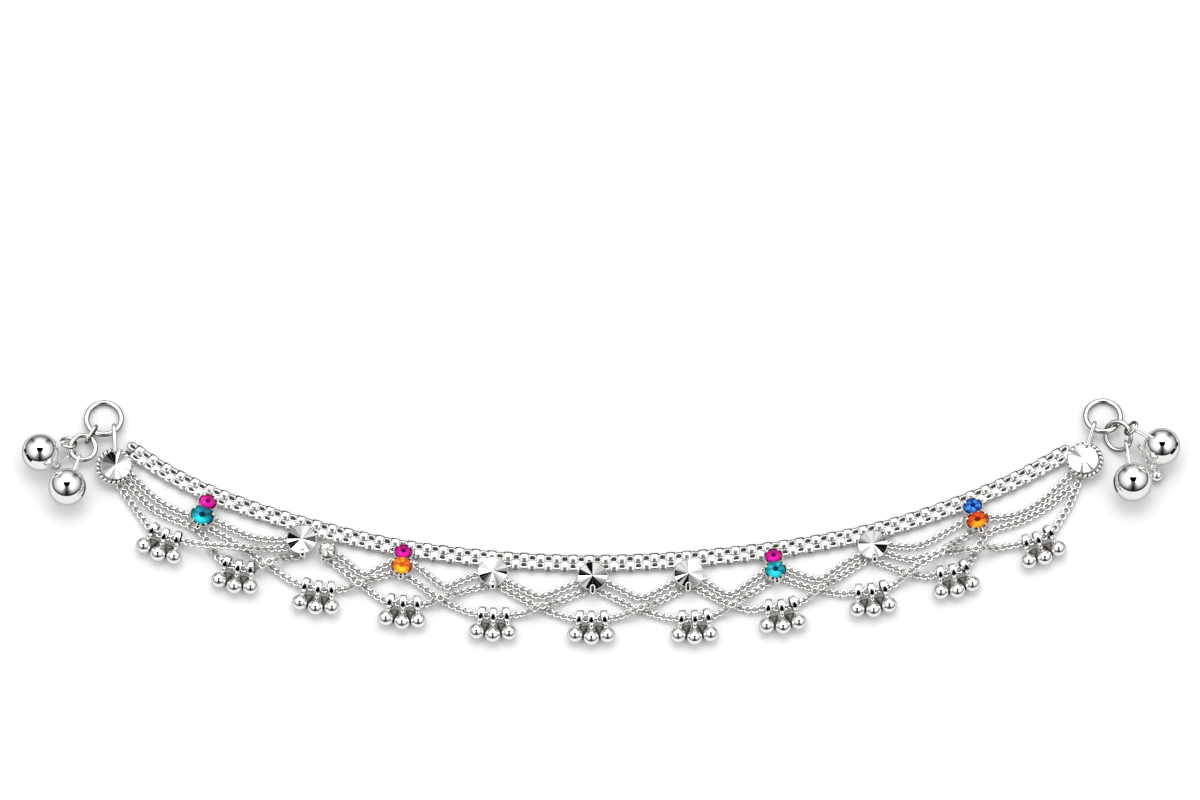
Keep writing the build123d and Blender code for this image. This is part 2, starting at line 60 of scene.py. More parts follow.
# ---- the anklet's driving sizes, as the frame has them ----
CHAIN_DIA = 1.6
ROOM = 0.05
CROSSING = 1.35
LOW = CHAIN_DIA / 2 + ROOM
OVER = LOW + CROSSING * (CHAIN_DIA + 0.15)
BAIL_RADIUS = CHAIN_DIA / 2 + 0.55
IN_BAIL = BAIL_RADIUS + ROOM
SEAT = 1.85
BAND_THICK = 1.7
SETTING_PLATE = 0.5
END_RING_RADIUS = 4.0
END_RING_WIRE = 1.2
MEDIUM_WIRE = 0.9
BAIL_WIRE = 0.7
JUMP_RADIUS = 1.7
JUMP_WIRE = 0.7
END_COLLAR_RADIUS = 3.65
RING_ROOM = END_RING_WIRE / 2 + BAIL_WIRE / 2 + 0.4

# ---- the routes of the chains ----
BAND_ROUTE = (
    (-109.3, 17.4), (-96.8, 9.1), (-82.0, 2.9), (-65.5, -2.2), (-48.5, -6.4), (-31.5, -8.8), (-14.5, -10.2),
    (2.5, -10.5), (19.0, -9.6), (35.5, -7.9), (52.0, -5.4), (68.0, -1.7), (83.5, 3.8), (97.5, 10.0), (108.6, 16.6),
)

SHORT_SWAGS = (
    ((-107.9, 10.8), (-105.0, 7.4), (-101.2, 4.1), (-97.3, 2.0), (-93.4, 0.9)),
    ((-87.6, -0.6), (-84.2, -2.4), (-80.5, -4.0), (-76.5, -4.7), (-72.6, -4.5)),
    ((-60.2, -8.4), (-58.2, -9.9), (-55.6, -12.4), (-53.6, -13.2), (-51.4, -11.6), (-48.6, -10.3)),
    ((-42.9, -10.3), (-39.6, -12.9), (-37.3, -15.0), (-35.2, -16.1), (-33.0, -14.9), (-30.1, -13.6), (-27.8, -12.9)),
    ((-21.6, -14.6), (-17.0, -16.8), (-13.7, -18.5), (-10.3, -17.1), (-4.8, -14.7)),
    ((1.4, -14.7), (6.0, -17.2), (9.4, -18.8), (13.1, -17.1), (17.4, -14.5)),
    ((23.4, -14.1), (26.9, -16.6), (29.7, -18.1), (32.9, -16.1), (37.2, -12.6)),
    ((43.0, -11.7), (46.8, -13.4), (50.4, -14.4), (52.6, -12.9), (55.2, -10.9), (59.7, -8.3)),
    ((66.0, -5.9), (70.3, -6.5), (73.9, -6.0), (76.5, -4.7), (79.5, -2.9), (83.2, -0.6)),
    ((88.8, 0.6), (93.8, 0.6), (97.5, 1.8), (101.2, 4.1), (104.6, 7.0), (107.4, 9.8)),
)

# Each chain's way down to its bunch of bells, and its way up from there. A third value lifts the chain over another.
CHAINS = (
    (((-111.0, 8.7), (-108.4, 4.6), (-105.4, 0.8)),
     ((-92.0, -6.4, OVER), (-86.9, -6.7, OVER), (-81.2, -7.1, OVER), (-76.2, -6.9), (-71.4, -6.6))),
    (((-108.3, 8.3), (-104.9, 4.0), (-100.3, 0.9), (-95.3, -0.9), (-91.6, -3.0), (-89.9, -5.6), (-88.3, -8.2)),
     ((-77.3, -11.2, OVER), (-74.5, -9.7, OVER), (-71.6, -8.9), (-69.2, -8.6))),
    (((-88.8, -2.6), (-85.3, -4.6), (-82.0, -6.8), (-78.6, -9.2), (-75.6, -11.2), (-72.0, -13.9)),
     ((-58.4, -16.5), (-55.2, -15.3, OVER), (-51.4, -13.7), (-46.9, -12.5))),
    (((-61.3, -10.3), (-58.2, -12.8), (-54.9, -15.3), (-51.3, -18.2)),
     ((-39.6, -20.1), (-36.4, -18.9, OVER), (-31.6, -16.9), (-26.2, -15.6))),
    (((-44.6, -13.2), (-41.4, -15.4), (-38.3, -17.8), (-35.0, -19.9), (-31.3, -21.5)),
     ((-17.7, -22.3), (-13.6, -20.9, OVER), (-9.4, -19.3), (-3.2, -16.8))),
    (((-22.8, -16.0), (-19.2, -18.0), (-15.2, -20.3), (-9.4, -22.6)),
     ((4.9, -22.9), (9.2, -21.2, OVER), (13.6, -19.4), (19.0, -16.4))),
    (((-0.2, -16.9), (4.6, -19.3), (9.3, -21.4), (14.4, -23.0)),
     ((27.4, -22.3), (30.7, -20.3, OVER), (34.9, -17.3), (39.2, -14.4))),
    (((22.2, -16.3), (26.0, -18.4), (30.0, -20.2), (34.6, -21.6)),
     ((47.2, -18.9), (50.6, -16.5, OVER), (54.3, -14.0), (61.2, -9.6))),
    (((42.0, -13.9), (45.6, -15.3), (50.0, -16.6), (55.3, -17.6)),
     ((68.0, -15.1), (71.2, -12.7, OVER), (75.4, -9.7, OVER), (79.6, -7.1, OVER), (83.0, -4.7), (85.8, -2.6))),
    (((64.0, -10.1), (67.6, -11.4), (71.0, -12.8), (75.1, -13.6)),
     ((85.6, -8.9), (87.0, -6.0), (88.5, -3.6), (91.5, -1.9), (95.5, -1.0), (99.7, 0.9), (103.6, 3.5), (107.4, 6.9))),
    (((66.3, -8.0), (69.2, -9.1), (72.2, -9.5), (75.2, -8.3), (78.6, -7.6), (82.0, -7.4), (84.9, -7.4, OVER),
      (87.9, -7.3, OVER), (91.4, -6.7)),
     ((105.0, -1.4), (107.1, 1.9), (109.0, 5.6), (110.3, 9.2))),
)

# Middle bail of each bunch: x, y, turn of the bunch, and the chain's slope to its left and right.
BUNCHES = (
    (-100.1, -4.1, -20.0, -27.0, -13.0), (-83.1, -11.6, -12.0, -21.0, -5.0), (-64.7, -16.6, -8.0, -15.0, -1.0),
    (-45.2, -20.0, -3.5, -9.0, 0.0), (-24.5, -23.0, -1.5, -7.0, 4.0), (-2.0, -23.7, 0.0, -3.5, 2.7),
    (21.5, -23.6, 2.5, -2.0, 9.0), (41.4, -21.1, 8.0, -5.0, 17.0), (62.1, -17.2, 9.0, 1.0, 14.0),
    (80.9, -12.7, 15.0, 5.0, 23.0), (100.4, -5.1, 24.0, 10.0, 31.0),
)
FLANK = 3.9  # from the middle bail to the chain's points at its left and right
BAIL_SPACING = 3.0
BELL_OFFSETS = ((-3.75, -3.7), (0.0, -4.4), (3.75, -3.8))


# ---- shapes ----
class PaintedDark(Enum):
    """How dark a point is painted: painted shade from bare metal through brown to black, also used for small painted
    dark reflections.
    """

    OPEN = 0.0
    GAP = 1.0
    DULL = 1.15
    DIM_SHADE = 1.45
    DEEP_SHADE = 1.78
    BLACK = 2.0


@dataclass
class Shape:
    """A mesh in the making: points in millimetres and faces.

    The painted darkness of a point says how much painted shade and painted dark reflection its metal carries. Its tone
    runs from 0, dark, to 1: painted reflections on mirror facets, painted light and shade on stones.
    """

    points: np.ndarray
    quads: np.ndarray
    tris: np.ndarray
    painted_darkness: np.ndarray
    tone: np.ndarray

    def moved(self, matrix: Matrix) -> "Shape":
        """The same shape somewhere else."""
        turn = np.array(matrix.to_3x3())
        return replace(self, points=self.points @ turn.T + np.array(matrix.translation))

    def all_painted_dark(self, dark_level: PaintedDark) -> "Shape":
        """The same shape, all of it painted at one level of darkness."""
        return replace(self, painted_darkness=np.full(len(self.points), dark_level.value))

    def normals(self) -> np.ndarray:
        """The direction that each point faces."""
        total = np.zeros_like(self.points)
        for faces in (self.quads, self.tris):
            corners = self.points[faces]
            if len(faces):
                across = np.cross(corners[:, 2] - corners[:, 0], corners[:, -1] - corners[:, 1])
                for corner in range(faces.shape[1]):
                    np.add.at(total, faces[:, corner], across)
        return total / np.maximum(np.linalg.norm(total, axis=1, keepdims=True), 1e-12)

    def shaded_by_facing(self, bright_from: float, dark_from: float, behind: float = 9.0) -> "Shape":
        """The same shape with painted shade where its faces turn away from the top, and where they face the back.

        Args:
            bright_from: points that face upward at least this much stay bright.
            dark_from: points that face upward at most this much get the full painted shade.
            behind: points that face towards +Y more than this get painted shade too.

        Returns:
            A new shape.
        """
        fade, darkest = 0.15, 1.5
        facing = self.normals()
        painted_darkness = np.clip((bright_from - facing[:, 2]) / (bright_from - dark_from), 0, 1)
        painted_darkness = np.maximum(painted_darkness, np.clip((facing[:, 1] - behind) / fade, 0, darkest))
        return replace(self, painted_darkness=np.where(self.painted_darkness > PaintedDark.GAP.value, self.painted_darkness, painted_darkness))


def shape_of(points: Iterable[Point], quads: Iterable[Sequence[int]], tris: Iterable[Sequence[int]] = (),
             painted_darkness: Iterable[float] | None = None, tone: Iterable[float] | None = None) -> Shape:
    """A shape from plain lists.

    Args:
        points: the places of its points.
        quads: four point numbers a face.
        tris: three point numbers a face.
        painted_darkness: one value a point, or none where nothing is painted dark.
        tone: one value a point, or none where all of it is bright.

    Returns:
        The shape.
    """
    places = np.array([tuple(p) for p in points], float).reshape(-1, 3)
    depth = np.zeros(len(places)) if painted_darkness is None else np.array(list(painted_darkness), float)
    bright = np.ones(len(places)) if tone is None else np.array(list(tone), float)
    faces = np.array(list(quads), int).reshape(-1, 4), np.array(list(tris), int).reshape(-1, 3)
    return Shape(places, *faces, depth, bright)


def joined(shapes: Sequence[Shape]) -> Shape:
    """One shape that holds all of them."""
    starts = np.cumsum([0] + [len(s.points) for s in shapes[:-1]])
    return Shape(
        np.vstack([s.points for s in shapes]),
        np.vstack([s.quads + start for s, start in zip(shapes, starts)]),
        np.vstack([s.tris + start for s, start in zip(shapes, starts)]),
        np.concatenate([s.painted_darkness for s in shapes]),
        np.concatenate([s.tone for s in shapes]),
    )


def placed(origin: Point, x_axis: Point, z_axis: Point) -> Matrix:
    """The matrix of a plane: its origin, its X direction and its normal.

    Args:
        origin: where it is.
        x_axis: roughly where its X points.
        z_axis: its normal.

    Returns:
        The matrix.
    """
    normal = Vector(z_axis).normalized()
    along = Vector(x_axis)
    along = (along - normal * along.dot(normal)).normalized()
    turn = Matrix((along, normal.cross(along), normal)).transposed()
    return Matrix.Translation(Vector(origin)) @ turn.to_4x4()


def circle_path(radius: float, steps: int = 48) -> list[Vector]:
    """Points round a circle in the XY plane."""
    return [Vector((radius * math.cos(a), radius * math.sin(a), 0)) for a in np.linspace(0, math.tau, steps, False)]


def oval_path(between: float, radius: float, arc_steps: int = 8) -> list[Vector]:
    """A long loop in the XY plane: two half circles whose centres are some way apart along X.

    Args:
        between: how far apart.
        radius: of the half circles.
        arc_steps: steps round each.

    Returns:
        The points of the loop.
    """
    path = []
    for side in (1, -1):
        for step in range(arc_steps + 1):
            angle = math.pi * (step / arc_steps - side / 2)
            path.append(Vector((side * between / 2 + radius * math.cos(angle), radius * math.sin(angle), 0)))
    return path


def skin(rows: int, around: int, closed: bool = False, start: int = 0) -> list[tuple[int, int, int, int]]:
    """The faces between rows of points, each row a ring.

    Args:
        rows: how many rows there are.
        around: points in a row.
        closed: whether the last row meets the first.
        start: the number of the first row's first point.

    Returns:
        The faces, wound to face outward where the rings run anticlockwise about the way from row to row.
    """
    quads = []
    for row in range(rows if closed else rows - 1):
        low, high = start + row * around, start + (row + 1) % rows * around
        for step in range(around):
            after = (step + 1) % around
            quads.append((low + step, low + after, high + after, high + step))
    return quads


def wire_loop(path: Sequence[Vector], wire_radius: float, sides: int = 8, squash: float = 1.0) -> Shape:
    """A closed loop of wire that lies in the XY plane.

    Args:
        path: the middle of the wire.
        wire_radius: half the wire's diameter.
        sides: points round the wire.
        squash: the wire's height as a share of its width.

    Returns:
        The loop. Its painted darkness is 1 where the wire faces the inside of the loop, as painted shade.
    """
    points, painted_darkness = [], []
    for index, here in enumerate(path):
        tangent = (path[(index + 1) % len(path)] - path[index - 1]).normalized()
        outward = tangent.cross(UP)
        for side in range(sides):
            angle = math.tau * side / sides
            points.append(here + outward * (wire_radius * math.cos(angle))
                          + UP * (wire_radius * squash * math.sin(angle)))
            painted_darkness.append((1 - math.cos(angle)) / 2)
    quads = [(a, d, c, b) for a, b, c, d in skin(len(path), sides, True)]
    return shape_of(points, quads, (), painted_darkness)


def wire_run(path: Sequence[Vector], radius: float, depth: float, sides: int = 6) -> Shape:
    """An open run of wire, painted dark all over as shade.

    Args:
        path: the middle of the wire.
        radius: half its diameter.
        depth: the painted darkness of all its points.
        sides: points round it.

    Returns:
        The run, with all of it painted dark.
    """
    points = []
    for index, here in enumerate(path):
        heading = (path[min(index + 1, len(path) - 1)] - path[max(index - 1, 0)]).normalized()
        left = UP.cross(heading).normalized()
        upright = heading.cross(left)
        for side in range(sides):
            angle = math.tau * side / sides
            points.append(here + left * (radius * math.cos(angle)) + upright * (radius * math.sin(angle)))
    return shape_of(points, skin(len(path), sides), (), [depth] * len(points))


def lathe(profile: Sequence[Pair], segments: int = 40) -> Shape:
    """A turned shape about Z.

    Args:
        profile: radius and height, from its foot to its top, with a radius of 0 at both ends.
        segments: steps round it.

    Returns:
        The closed shape.
    """
    points, tris = [(0.0, 0.0, profile[0][1])], []
    for radius, height in profile[1:-1]:
        for step in range(segments):
            angle = math.tau * step / segments
            points.append((radius * math.cos(angle), radius * math.sin(angle), height))
    points.append((0.0, 0.0, profile[-1][1]))
    rows = len(profile) - 2
    last = 1 + (rows - 1) * segments
    for step in range(segments):
        after = (step + 1) % segments
        tris += [(0, 1 + after, 1 + step), (len(points) - 1, last + step, last + after)]
    return shape_of(points, skin(rows, segments, start=1), tris)


def ball(centre: Point, radius: float, segments: int = 48) -> Shape:
    """A round ball."""
    rows = segments // 2
    profile = [(radius * math.sin(math.pi * row / rows), -radius * math.cos(math.pi * row / rows))
               for row in range(rows + 1)]
    return lathe(profile, segments).moved(Matrix.Translation(Vector(centre)))


def pin(radius: float, low: float, high: float, segments: int) -> Shape:
    """A plain upright cylinder from one height to another."""
    return lathe([(0, low), (radius, low), (radius, high), (0, high)], segments)


def rod(start: Point, end: Point, radius: float, segments: int = 16) -> Shape:
    """A round rod between two points, with plain ends.

    Args:
        start: the middle of one end.
        end: the middle of the other.
        radius: half its diameter.
        segments: steps round it.

    Returns:
        The rod.
    """
    start, end = Vector(start), Vector(end)
    along = end - start
    side = RIGHT if abs(along.normalized().x) < 0.9 else Vector((0, 1, 0))
    return pin(radius, 0, along.length, segments).moved(placed(start, side, along))


@dataclass
class Facets:
    """Flat triangles, each with its own points so that it stays flat."""

    points: list[Point] = field(default_factory=list)
    tones: list[float] = field(default_factory=list)

    def add(self, corners: Iterable[Point], tones: Iterable[float]) -> None:
        """Adds one, with its corners clockwise as seen from outside."""
        self.points += corners
        self.tones += tones

    def shape(self) -> Shape:
        """All of them as one shape."""
        tris = [(start, start + 2, start + 1) for start in range(0, len(self.points), 3)]
        return shape_of(self.points, (), tris, None, self.tones)


class Route:
    """A chain's smooth way through its corner points, walked by length."""

    STEPS = 14

    def __init__(self, corners: Sequence[Point], extend: float = 0.0) -> None:
        """Rounds every corner.

        Args:
            corners: the points of the route.
            extend: how far both ends are drawn out.
        """
        points = [Vector(c) for c in corners]
        points[0] = points[0] + (points[0] - points[1]).normalized() * extend
        points[-1] = points[-1] + (points[-1] - points[-2]).normalized() * extend
        walk = [points[0]]
        for before, here, after in zip(points, points[1:], points[2:]):
            start, end = (before + here) / 2, (here + after) / 2
            for step in range(self.STEPS + 1):
                t = step / self.STEPS
                walk.append(start * (1 - t) ** 2 + here * (2 * t * (1 - t)) + end * t**2)
        walk.append(points[-1])
        self.points = np.array(walk)
        runs = np.linalg.norm(np.diff(self.points, axis=0), axis=1)
        self.along = np.concatenate(([0], np.cumsum(runs)))
        self.length = float(self.along[-1])

    def at(self, distance: float) -> Vector:
        """The point at a distance from the route's start."""
        return Vector([float(np.interp(distance, self.along, self.points[:, axis])) for axis in range(3)])

    def heading(self, distance: float) -> Vector:
        """The direction of travel there."""
        reach = 0.4
        return (self.at(min(distance + reach, self.length)) - self.at(max(distance - reach, 0))).normalized()

    def at_x(self, x: float) -> float:
        """How far along the route first reaches an X."""
        return float(self.along[int(np.argmax(self.points[:, 0] >= x))])


def bunch_frame(number: int, turn: float | None = None) -> Matrix:
    """Where a bunch's middle bail stands, at height 0."""
    x, y, own_turn = BUNCHES[number][:3]
    return Matrix.Translation((x, y, 0)) @ Matrix.Rotation(math.radians(own_turn if turn is None else turn), 4, "Z")


def bell_route(number: int, extend: float = 0.0) -> Route:
    """The route of a chain that carries bells.

    Args:
        number: which chain.
        extend: how far both ends are drawn out.

    Returns:
        The route.
    """
    down, up = [[(*point, LOW)[:3] for point in part] for part in CHAINS[number]]
    left, right = BUNCHES[number][3:]
    before = bunch_frame(number, left) @ Vector((-FLANK, 0, IN_BAIL))
    middle = bunch_frame(number) @ Vector((0, 0, IN_BAIL))
    after = bunch_frame(number, right) @ Vector((FLANK, 0, IN_BAIL))
    return Route([*down, before, middle, after, *up], extend)


# ---- shader maths ----
class Tint(Enum):
    """Plain colours, in linear light."""

    SILVER = (0.955, 0.948, 0.935)
    # The next two are colours of painted shade and of painted dark reflections.
    SHADE_BROWN = (0.08, 0.064, 0.045)
    PAINTED_BLACK = (0.002, 0.0018, 0.0015)
    FLOOR = (0.985, 0.985, 0.985)


class Signal:
    """A socket that can be reckoned with as a number."""

    def __init__(self, tree: "Shading", socket: bpy.types.NodeSocket) -> None:
        """Wraps a socket."""
        self.tree, self.socket = tree, socket

    def _maths(self, operation: str, first: Any, second: Any) -> "Signal":
        """One Math node."""
        return self.tree.node("ShaderNodeMath", {"operation": operation}, {0: first, 1: second})

    def __add__(self, other: Any) -> "Signal":
        """self + other."""
        return self._maths("ADD", self, other)

    __radd__ = __add__

    def __sub__(self, other: Any) -> "Signal":
        """self - other."""
        return self._maths("SUBTRACT", self, other)

    def __rsub__(self, other: Any) -> "Signal":
        """other - self."""
        return self._maths("SUBTRACT", other, self)

    def __mul__(self, other: Any) -> "Signal":
        """self * other."""
        return self._maths("MULTIPLY", self, other)

    __rmul__ = __mul__

    def lighter(self, other: Any) -> "Signal":
        """The larger of the two."""
        return self._maths("MAXIMUM", self, other)

    def power(self, exponent: float) -> "Signal":
        """self to a power."""
        return self._maths("POWER", self, exponent)

    def arc_tangent(self, other: "Signal") -> "Signal":
        """The angle whose tangent is self / other, in radians."""
        return self._maths("ARCTAN2", self, other)

    def dot(self, direction: Point) -> "Signal":
        """How far this vector reaches along a direction."""
        inputs = {0: self, 1: tuple(direction)}
        return self.tree.node("ShaderNodeVectorMath", {"operation": "DOT_PRODUCT"}, inputs, "Value")

    def __abs__(self) -> "Signal":
        """The size without its sign."""
        return self.tree.node("ShaderNodeMath", {"operation": "ABSOLUTE"}, {0: self})

    def under(self, limit: Any, soft: Any) -> "Signal":
        """1 below a limit and 0 above it, with a soft edge.

        Args:
            limit: where the edge is.
            soft: half the edge's width.

        Returns:
            The mask.
        """
        settings = {"interpolation_type": "SMOOTHSTEP"}
        low, high = limit - soft, limit + soft
        return self.tree.node("ShaderNodeMapRange", settings, {0: self, 1: low, 2: high, 3: 1.0, 4: 0.0})

    def fit(self, low: float, high: float, to_low: float, to_high: float) -> "Signal":
        """A straight change from one range to another, held at its ends."""
        inputs = {0: self, 1: low, 2: high, 3: to_low, 4: to_high}
        return self.tree.node("ShaderNodeMapRange", {}, inputs)


class Shading:
    """A node tree that is written as expressions."""

    def __init__(self, tree: bpy.types.NodeTree) -> None:
        """Empties the tree."""
        self.tree = tree
        tree.nodes.clear()

    def node(self, kind: str, settings: Mapping[str, Any], inputs: Mapping[Any, Any], output: Any = 0) -> Signal:
        """Adds any node.

        Args:
            kind: the node's type.
            settings: its own settings. A ramp's stops are a list of position and colour.
            inputs: values, or signals to link, by socket.
            output: which of its outputs is wanted.

        Returns:
            That output.
        """
        made = self.tree.nodes.new(kind)
        for name, value in settings.items():
            if name == "stops":
                self._stops(made.color_ramp, value)
            else:
                setattr(made, name, value)
        for name, value in inputs.items():
            if isinstance(value, Signal):
                self.tree.links.new(value.socket, made.inputs[name])
            else:
                made.inputs[name].default_value = value
        return Signal(self, made.outputs[output] if made.outputs else None)

    @staticmethod
    def _stops(ramp: bpy.types.ColorRamp, stops: Sequence[tuple[float, Sequence[float]]]) -> None:
        """Gives a ramp its stops."""
        while len(ramp.elements) < len(stops):
            ramp.elements.new(0.5)
        for element, (position, colour) in zip(ramp.elements, stops):
            element.position, element.color = position, (*colour, 1)

    def attribute(self, name: str) -> Signal:
        """A number that the mesh carries."""
        return self.node("ShaderNodeAttribute", {"attribute_name": name}, {}, "Fac")

    def noise(self, scale: float, detail: float = 3.0) -> Signal:
        """Even noise through space, from 0 to 1. The scale is in features a metre."""
        place = self.node("ShaderNodeTexCoord", {}, {}, "Object")
        return self.node("ShaderNodeTexNoise", {}, {"Vector": place, "Scale": scale, "Detail": detail}, 0)

    def blend(self, share: Any, first: Any, second: Any) -> Signal:
        """A colour between two, which are tints or signals."""
        colours = [(*end.value, 1) if isinstance(end, Tint) else end for end in (first, second)]
        return self.node("ShaderNodeMix", {"data_type": "RGBA"}, {"Factor": share, 6: colours[0], 7: colours[1]}, 2)

    def bump(self, height: Signal, strength: float, distance: float) -> Signal:
        """A normal from a height, in millimetres."""
        return self.node("ShaderNodeBump", {}, {"Height": height, "Strength": strength, "Distance": distance * MM})


# ---- finishes ----
@dataclass(frozen=True)
class Finish:
    """What a piece is made of: a name and one Principled surface."""

    name: str

    def material(self) -> bpy.types.Material:
        """The material of this finish."""
        material = bpy.data.materials.new(self.name)
        material.use_nodes = True
        shading = Shading(material.node_tree)
        shader = shading.node("ShaderNodeBsdfPrincipled", {}, self.sockets(shading))
        shading.node("ShaderNodeOutputMaterial", {}, {"Surface": shader})
        return material

    def sockets(self, shading: Shading) -> dict[str, Any]:
        """The values of its surface, by socket."""
        raise NotImplementedError


@dataclass(frozen=True)
class SilverFinish(Finish):
    """Polished silver with painted shade, brown and then black, where its points are painted dark, and a fine grain
    from the polishing.
    """

    roughness: float = 0.05
    uneven: float = 0.03
    grain: float = 1500.0
    dents: float = 0.0
    dent_scale: float = 900.0
    shade_strength: float = 0.8
    dulls: Pair = (0.3, 1.0)
    blackens: Pair = (1.2, 1.8)

    def sockets(self, shading: Shading) -> dict[str, Any]:
        """The values of its surface, by socket.

        Args:
            shading: the node tree that they are made in.

        Returns:
            The values and signals.
        """
        grain = shading.noise(self.grain)
        # Painted shade: brown over the middle range of a point's painted darkness, black over the top range.
        gap = shading.attribute("painted_darkness").fit(*self.dulls, 0.0, self.shade_strength)
        black = shading.attribute("painted_darkness").fit(*self.blackens, 0.0, 1.0)
        colour = shading.blend(black, shading.blend(gap, Tint.SILVER, Tint.SHADE_BROWN), Tint.PAINTED_BLACK)
        dent = shading.noise(self.dent_scale, 2.0)
        return {
            "Base Color": colour,
            "Metallic": 1.0,
            "Roughness": grain * (2 * self.uneven) + (self.roughness - self.uneven) + gap * 0.3,
            "Normal": shading.bump(dent + grain * 0.15, 0.6, self.dents),
        }


@dataclass(frozen=True)
class MirrorFinish(Finish):
    """A cut mirror's facets, coloured by their tone from bright silver to black: painted reflections."""

    roughness: float = 0.06
    uneven: float = 0.04
    grain: float = 2500.0

    def sockets(self, shading: Shading) -> dict[str, Any]:
        """The values of its surface, by socket."""
        bright = shading.attribute("tone")
        grain = shading.noise(self.grain)
        return {
            "Base Color": shading.blend(bright, Tint.PAINTED_BLACK, Tint.SILVER),
            "Metallic": 1.0,
            "Roughness": grain * self.uneven + self.roughness,
            "Normal": shading.bump(grain, 0.3, 0.004),
        }


@dataclass(frozen=True)
class CrystalFinish(Finish):
    """A foiled crystal whose tone paints its light and shade: a painted dark reflection at its middle, its own colour
    over most facets and a painted highlight low down.
    """

    painted_dark_colour: Triple
    body: Triple
    painted_highlight_colour: Triple
    glow: float = 0.25

    def sockets(self, shading: Shading) -> dict[str, Any]:
        """The values of its surface, by socket."""
        stops = [(0.0, self.painted_dark_colour), (0.5, self.body), (1.0, self.painted_highlight_colour)]
        colour = shading.node("ShaderNodeValToRGB", {"stops": stops}, {"Fac": shading.attribute("tone")})
        return {
            "Base Color": colour,
            "Roughness": shading.noise(1800.0) * 0.08 + 0.06,
            # The stone's colour also glows by itself: painted light.
            "Emission Color": colour,
            "Emission Strength": self.glow,
            "Specular IOR Level": 0.08,
            "Coat Weight": 0.06,
            "Coat Roughness": 0.02,
        }


@dataclass(frozen=True)
class FloorFinish(Finish):
    """A plain pale table top, which the light behind it brightens a little."""

    glow: float = 0.07

    def sockets(self, shading: Shading) -> dict[str, Any]:
        """The values of its surface, by socket."""
        pale = (*Tint.FLOOR.value, 1)
        return {
            "Base Color": pale,
            "Roughness": shading.noise(40.0) * 0.1 + 0.55,
            "Specular IOR Level": 0.2,
            "Emission Color": pale,
            "Emission Strength": self.glow,
        }


# ---- making pieces ----
CRISP = 40.0


@dataclass
class Workshop:
    """Turns shapes into pieces that ride on the anklet. Edges that turn by more degrees than CRISP are sharp."""

    materials: dict[str, bpy.types.Material] = field(default_factory=dict)
    triangles: int = 0

    def dressed(self, finish: Finish) -> bpy.types.Material:
        """The one material of a finish."""
        if finish.name not in self.materials:
            self.materials[finish.name] = finish.material()
        return self.materials[finish.name]

    def mesh(self, name: str, shape: Shape) -> bpy.types.Mesh:
        """A mesh in metres, which carries its points' painted darkness and tone.

        Args:
            name: its name.
            shape: what it looks like.

        Returns:
            The mesh.
        """
        mesh = bpy.data.meshes.new(name)
        mesh.from_pydata((shape.points * MM).tolist(), [], shape.quads.tolist() + shape.tris.tolist())
        for attribute, values in (("painted_darkness", shape.painted_darkness), ("tone", shape.tone)):
            mesh.attributes.new(attribute, "FLOAT", "POINT").data.foreach_set("value", values.astype(np.float32))
        mesh.validate()
        return mesh

    def piece(self, name: str, shape: Shape, finish: Finish, replaces: Sequence[str] = ()) -> None:
        """Makes one visible piece.

        Args:
            name: its name.
            shape: what it looks like.
            finish: what it is made of.
            replaces: the frame's nodes that it stands for.
        """
        mesh = self.mesh(name, shape)
        mesh.shade_smooth()
        mesh.set_sharp_from_angle(angle=math.radians(CRISP))
        mesh.materials.append(self.dressed(finish))
        made = bpy.data.objects.new(name, mesh)
        bpy.context.scene.collection.objects.link(made)
        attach(made, BODY)
        if replaces:
            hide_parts(*replaces)
        count = 2 * len(shape.quads) + len(shape.tris)
        self.triangles += count
        LOG.info("%s: %d triangles, stands for %s", name, count, ", ".join(replaces) or "nothing in the frame")

    def redress(self, node: str, finish: Finish) -> None:
        """Gives a piece of the frame its finish.

        Args:
            node: the frame's name for it.
            finish: what it is made of.
        """
        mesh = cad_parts[node].data
        mesh.materials.clear()
        mesh.materials.append(self.dressed(finish))
        LOG.info("%s: the frame's own shape", node)


POLISHED = SilverFinish("polished_silver", roughness=0.035, uneven=0.015, shade_strength=0.0)
WIRE = SilverFinish("silver_wire", roughness=0.07, uneven=0.03, dents=0.01, shade_strength=0.5)
LINKS = SilverFinish("silver_links", roughness=0.24, uneven=0.03, dents=0.012, dent_scale=1400.0, shade_strength=0.85)
FINE_LINKS = SilverFinish("fine_links", roughness=0.12, uneven=0.05, dents=0.02, dent_scale=1400.0, shade_strength=0.7)
RINGS = SilverFinish("ring_silver", roughness=0.05, uneven=0.02, shade_strength=0.97)
BELLS = SilverFinish("bell_silver", roughness=0.035, uneven=0.015, shade_strength=0.85)
FACETS = MirrorFinish("cut_mirror")


# ---- chains ----
@dataclass(frozen=True)
class Link:
    """One kind of link: an oval loop, and how broad its wire is for its thickness."""

    length: float
    width: float
    wire: float
    broad: float
    arc_steps: int
    sides: int

    def shape(self) -> Shape:
        """The link, lying in the XY plane along X."""
        path = oval_path(self.length - self.width, (self.width - self.wire) / 2, self.arc_steps)
        return wire_loop(path, self.wire / 2, self.sides, self.broad)


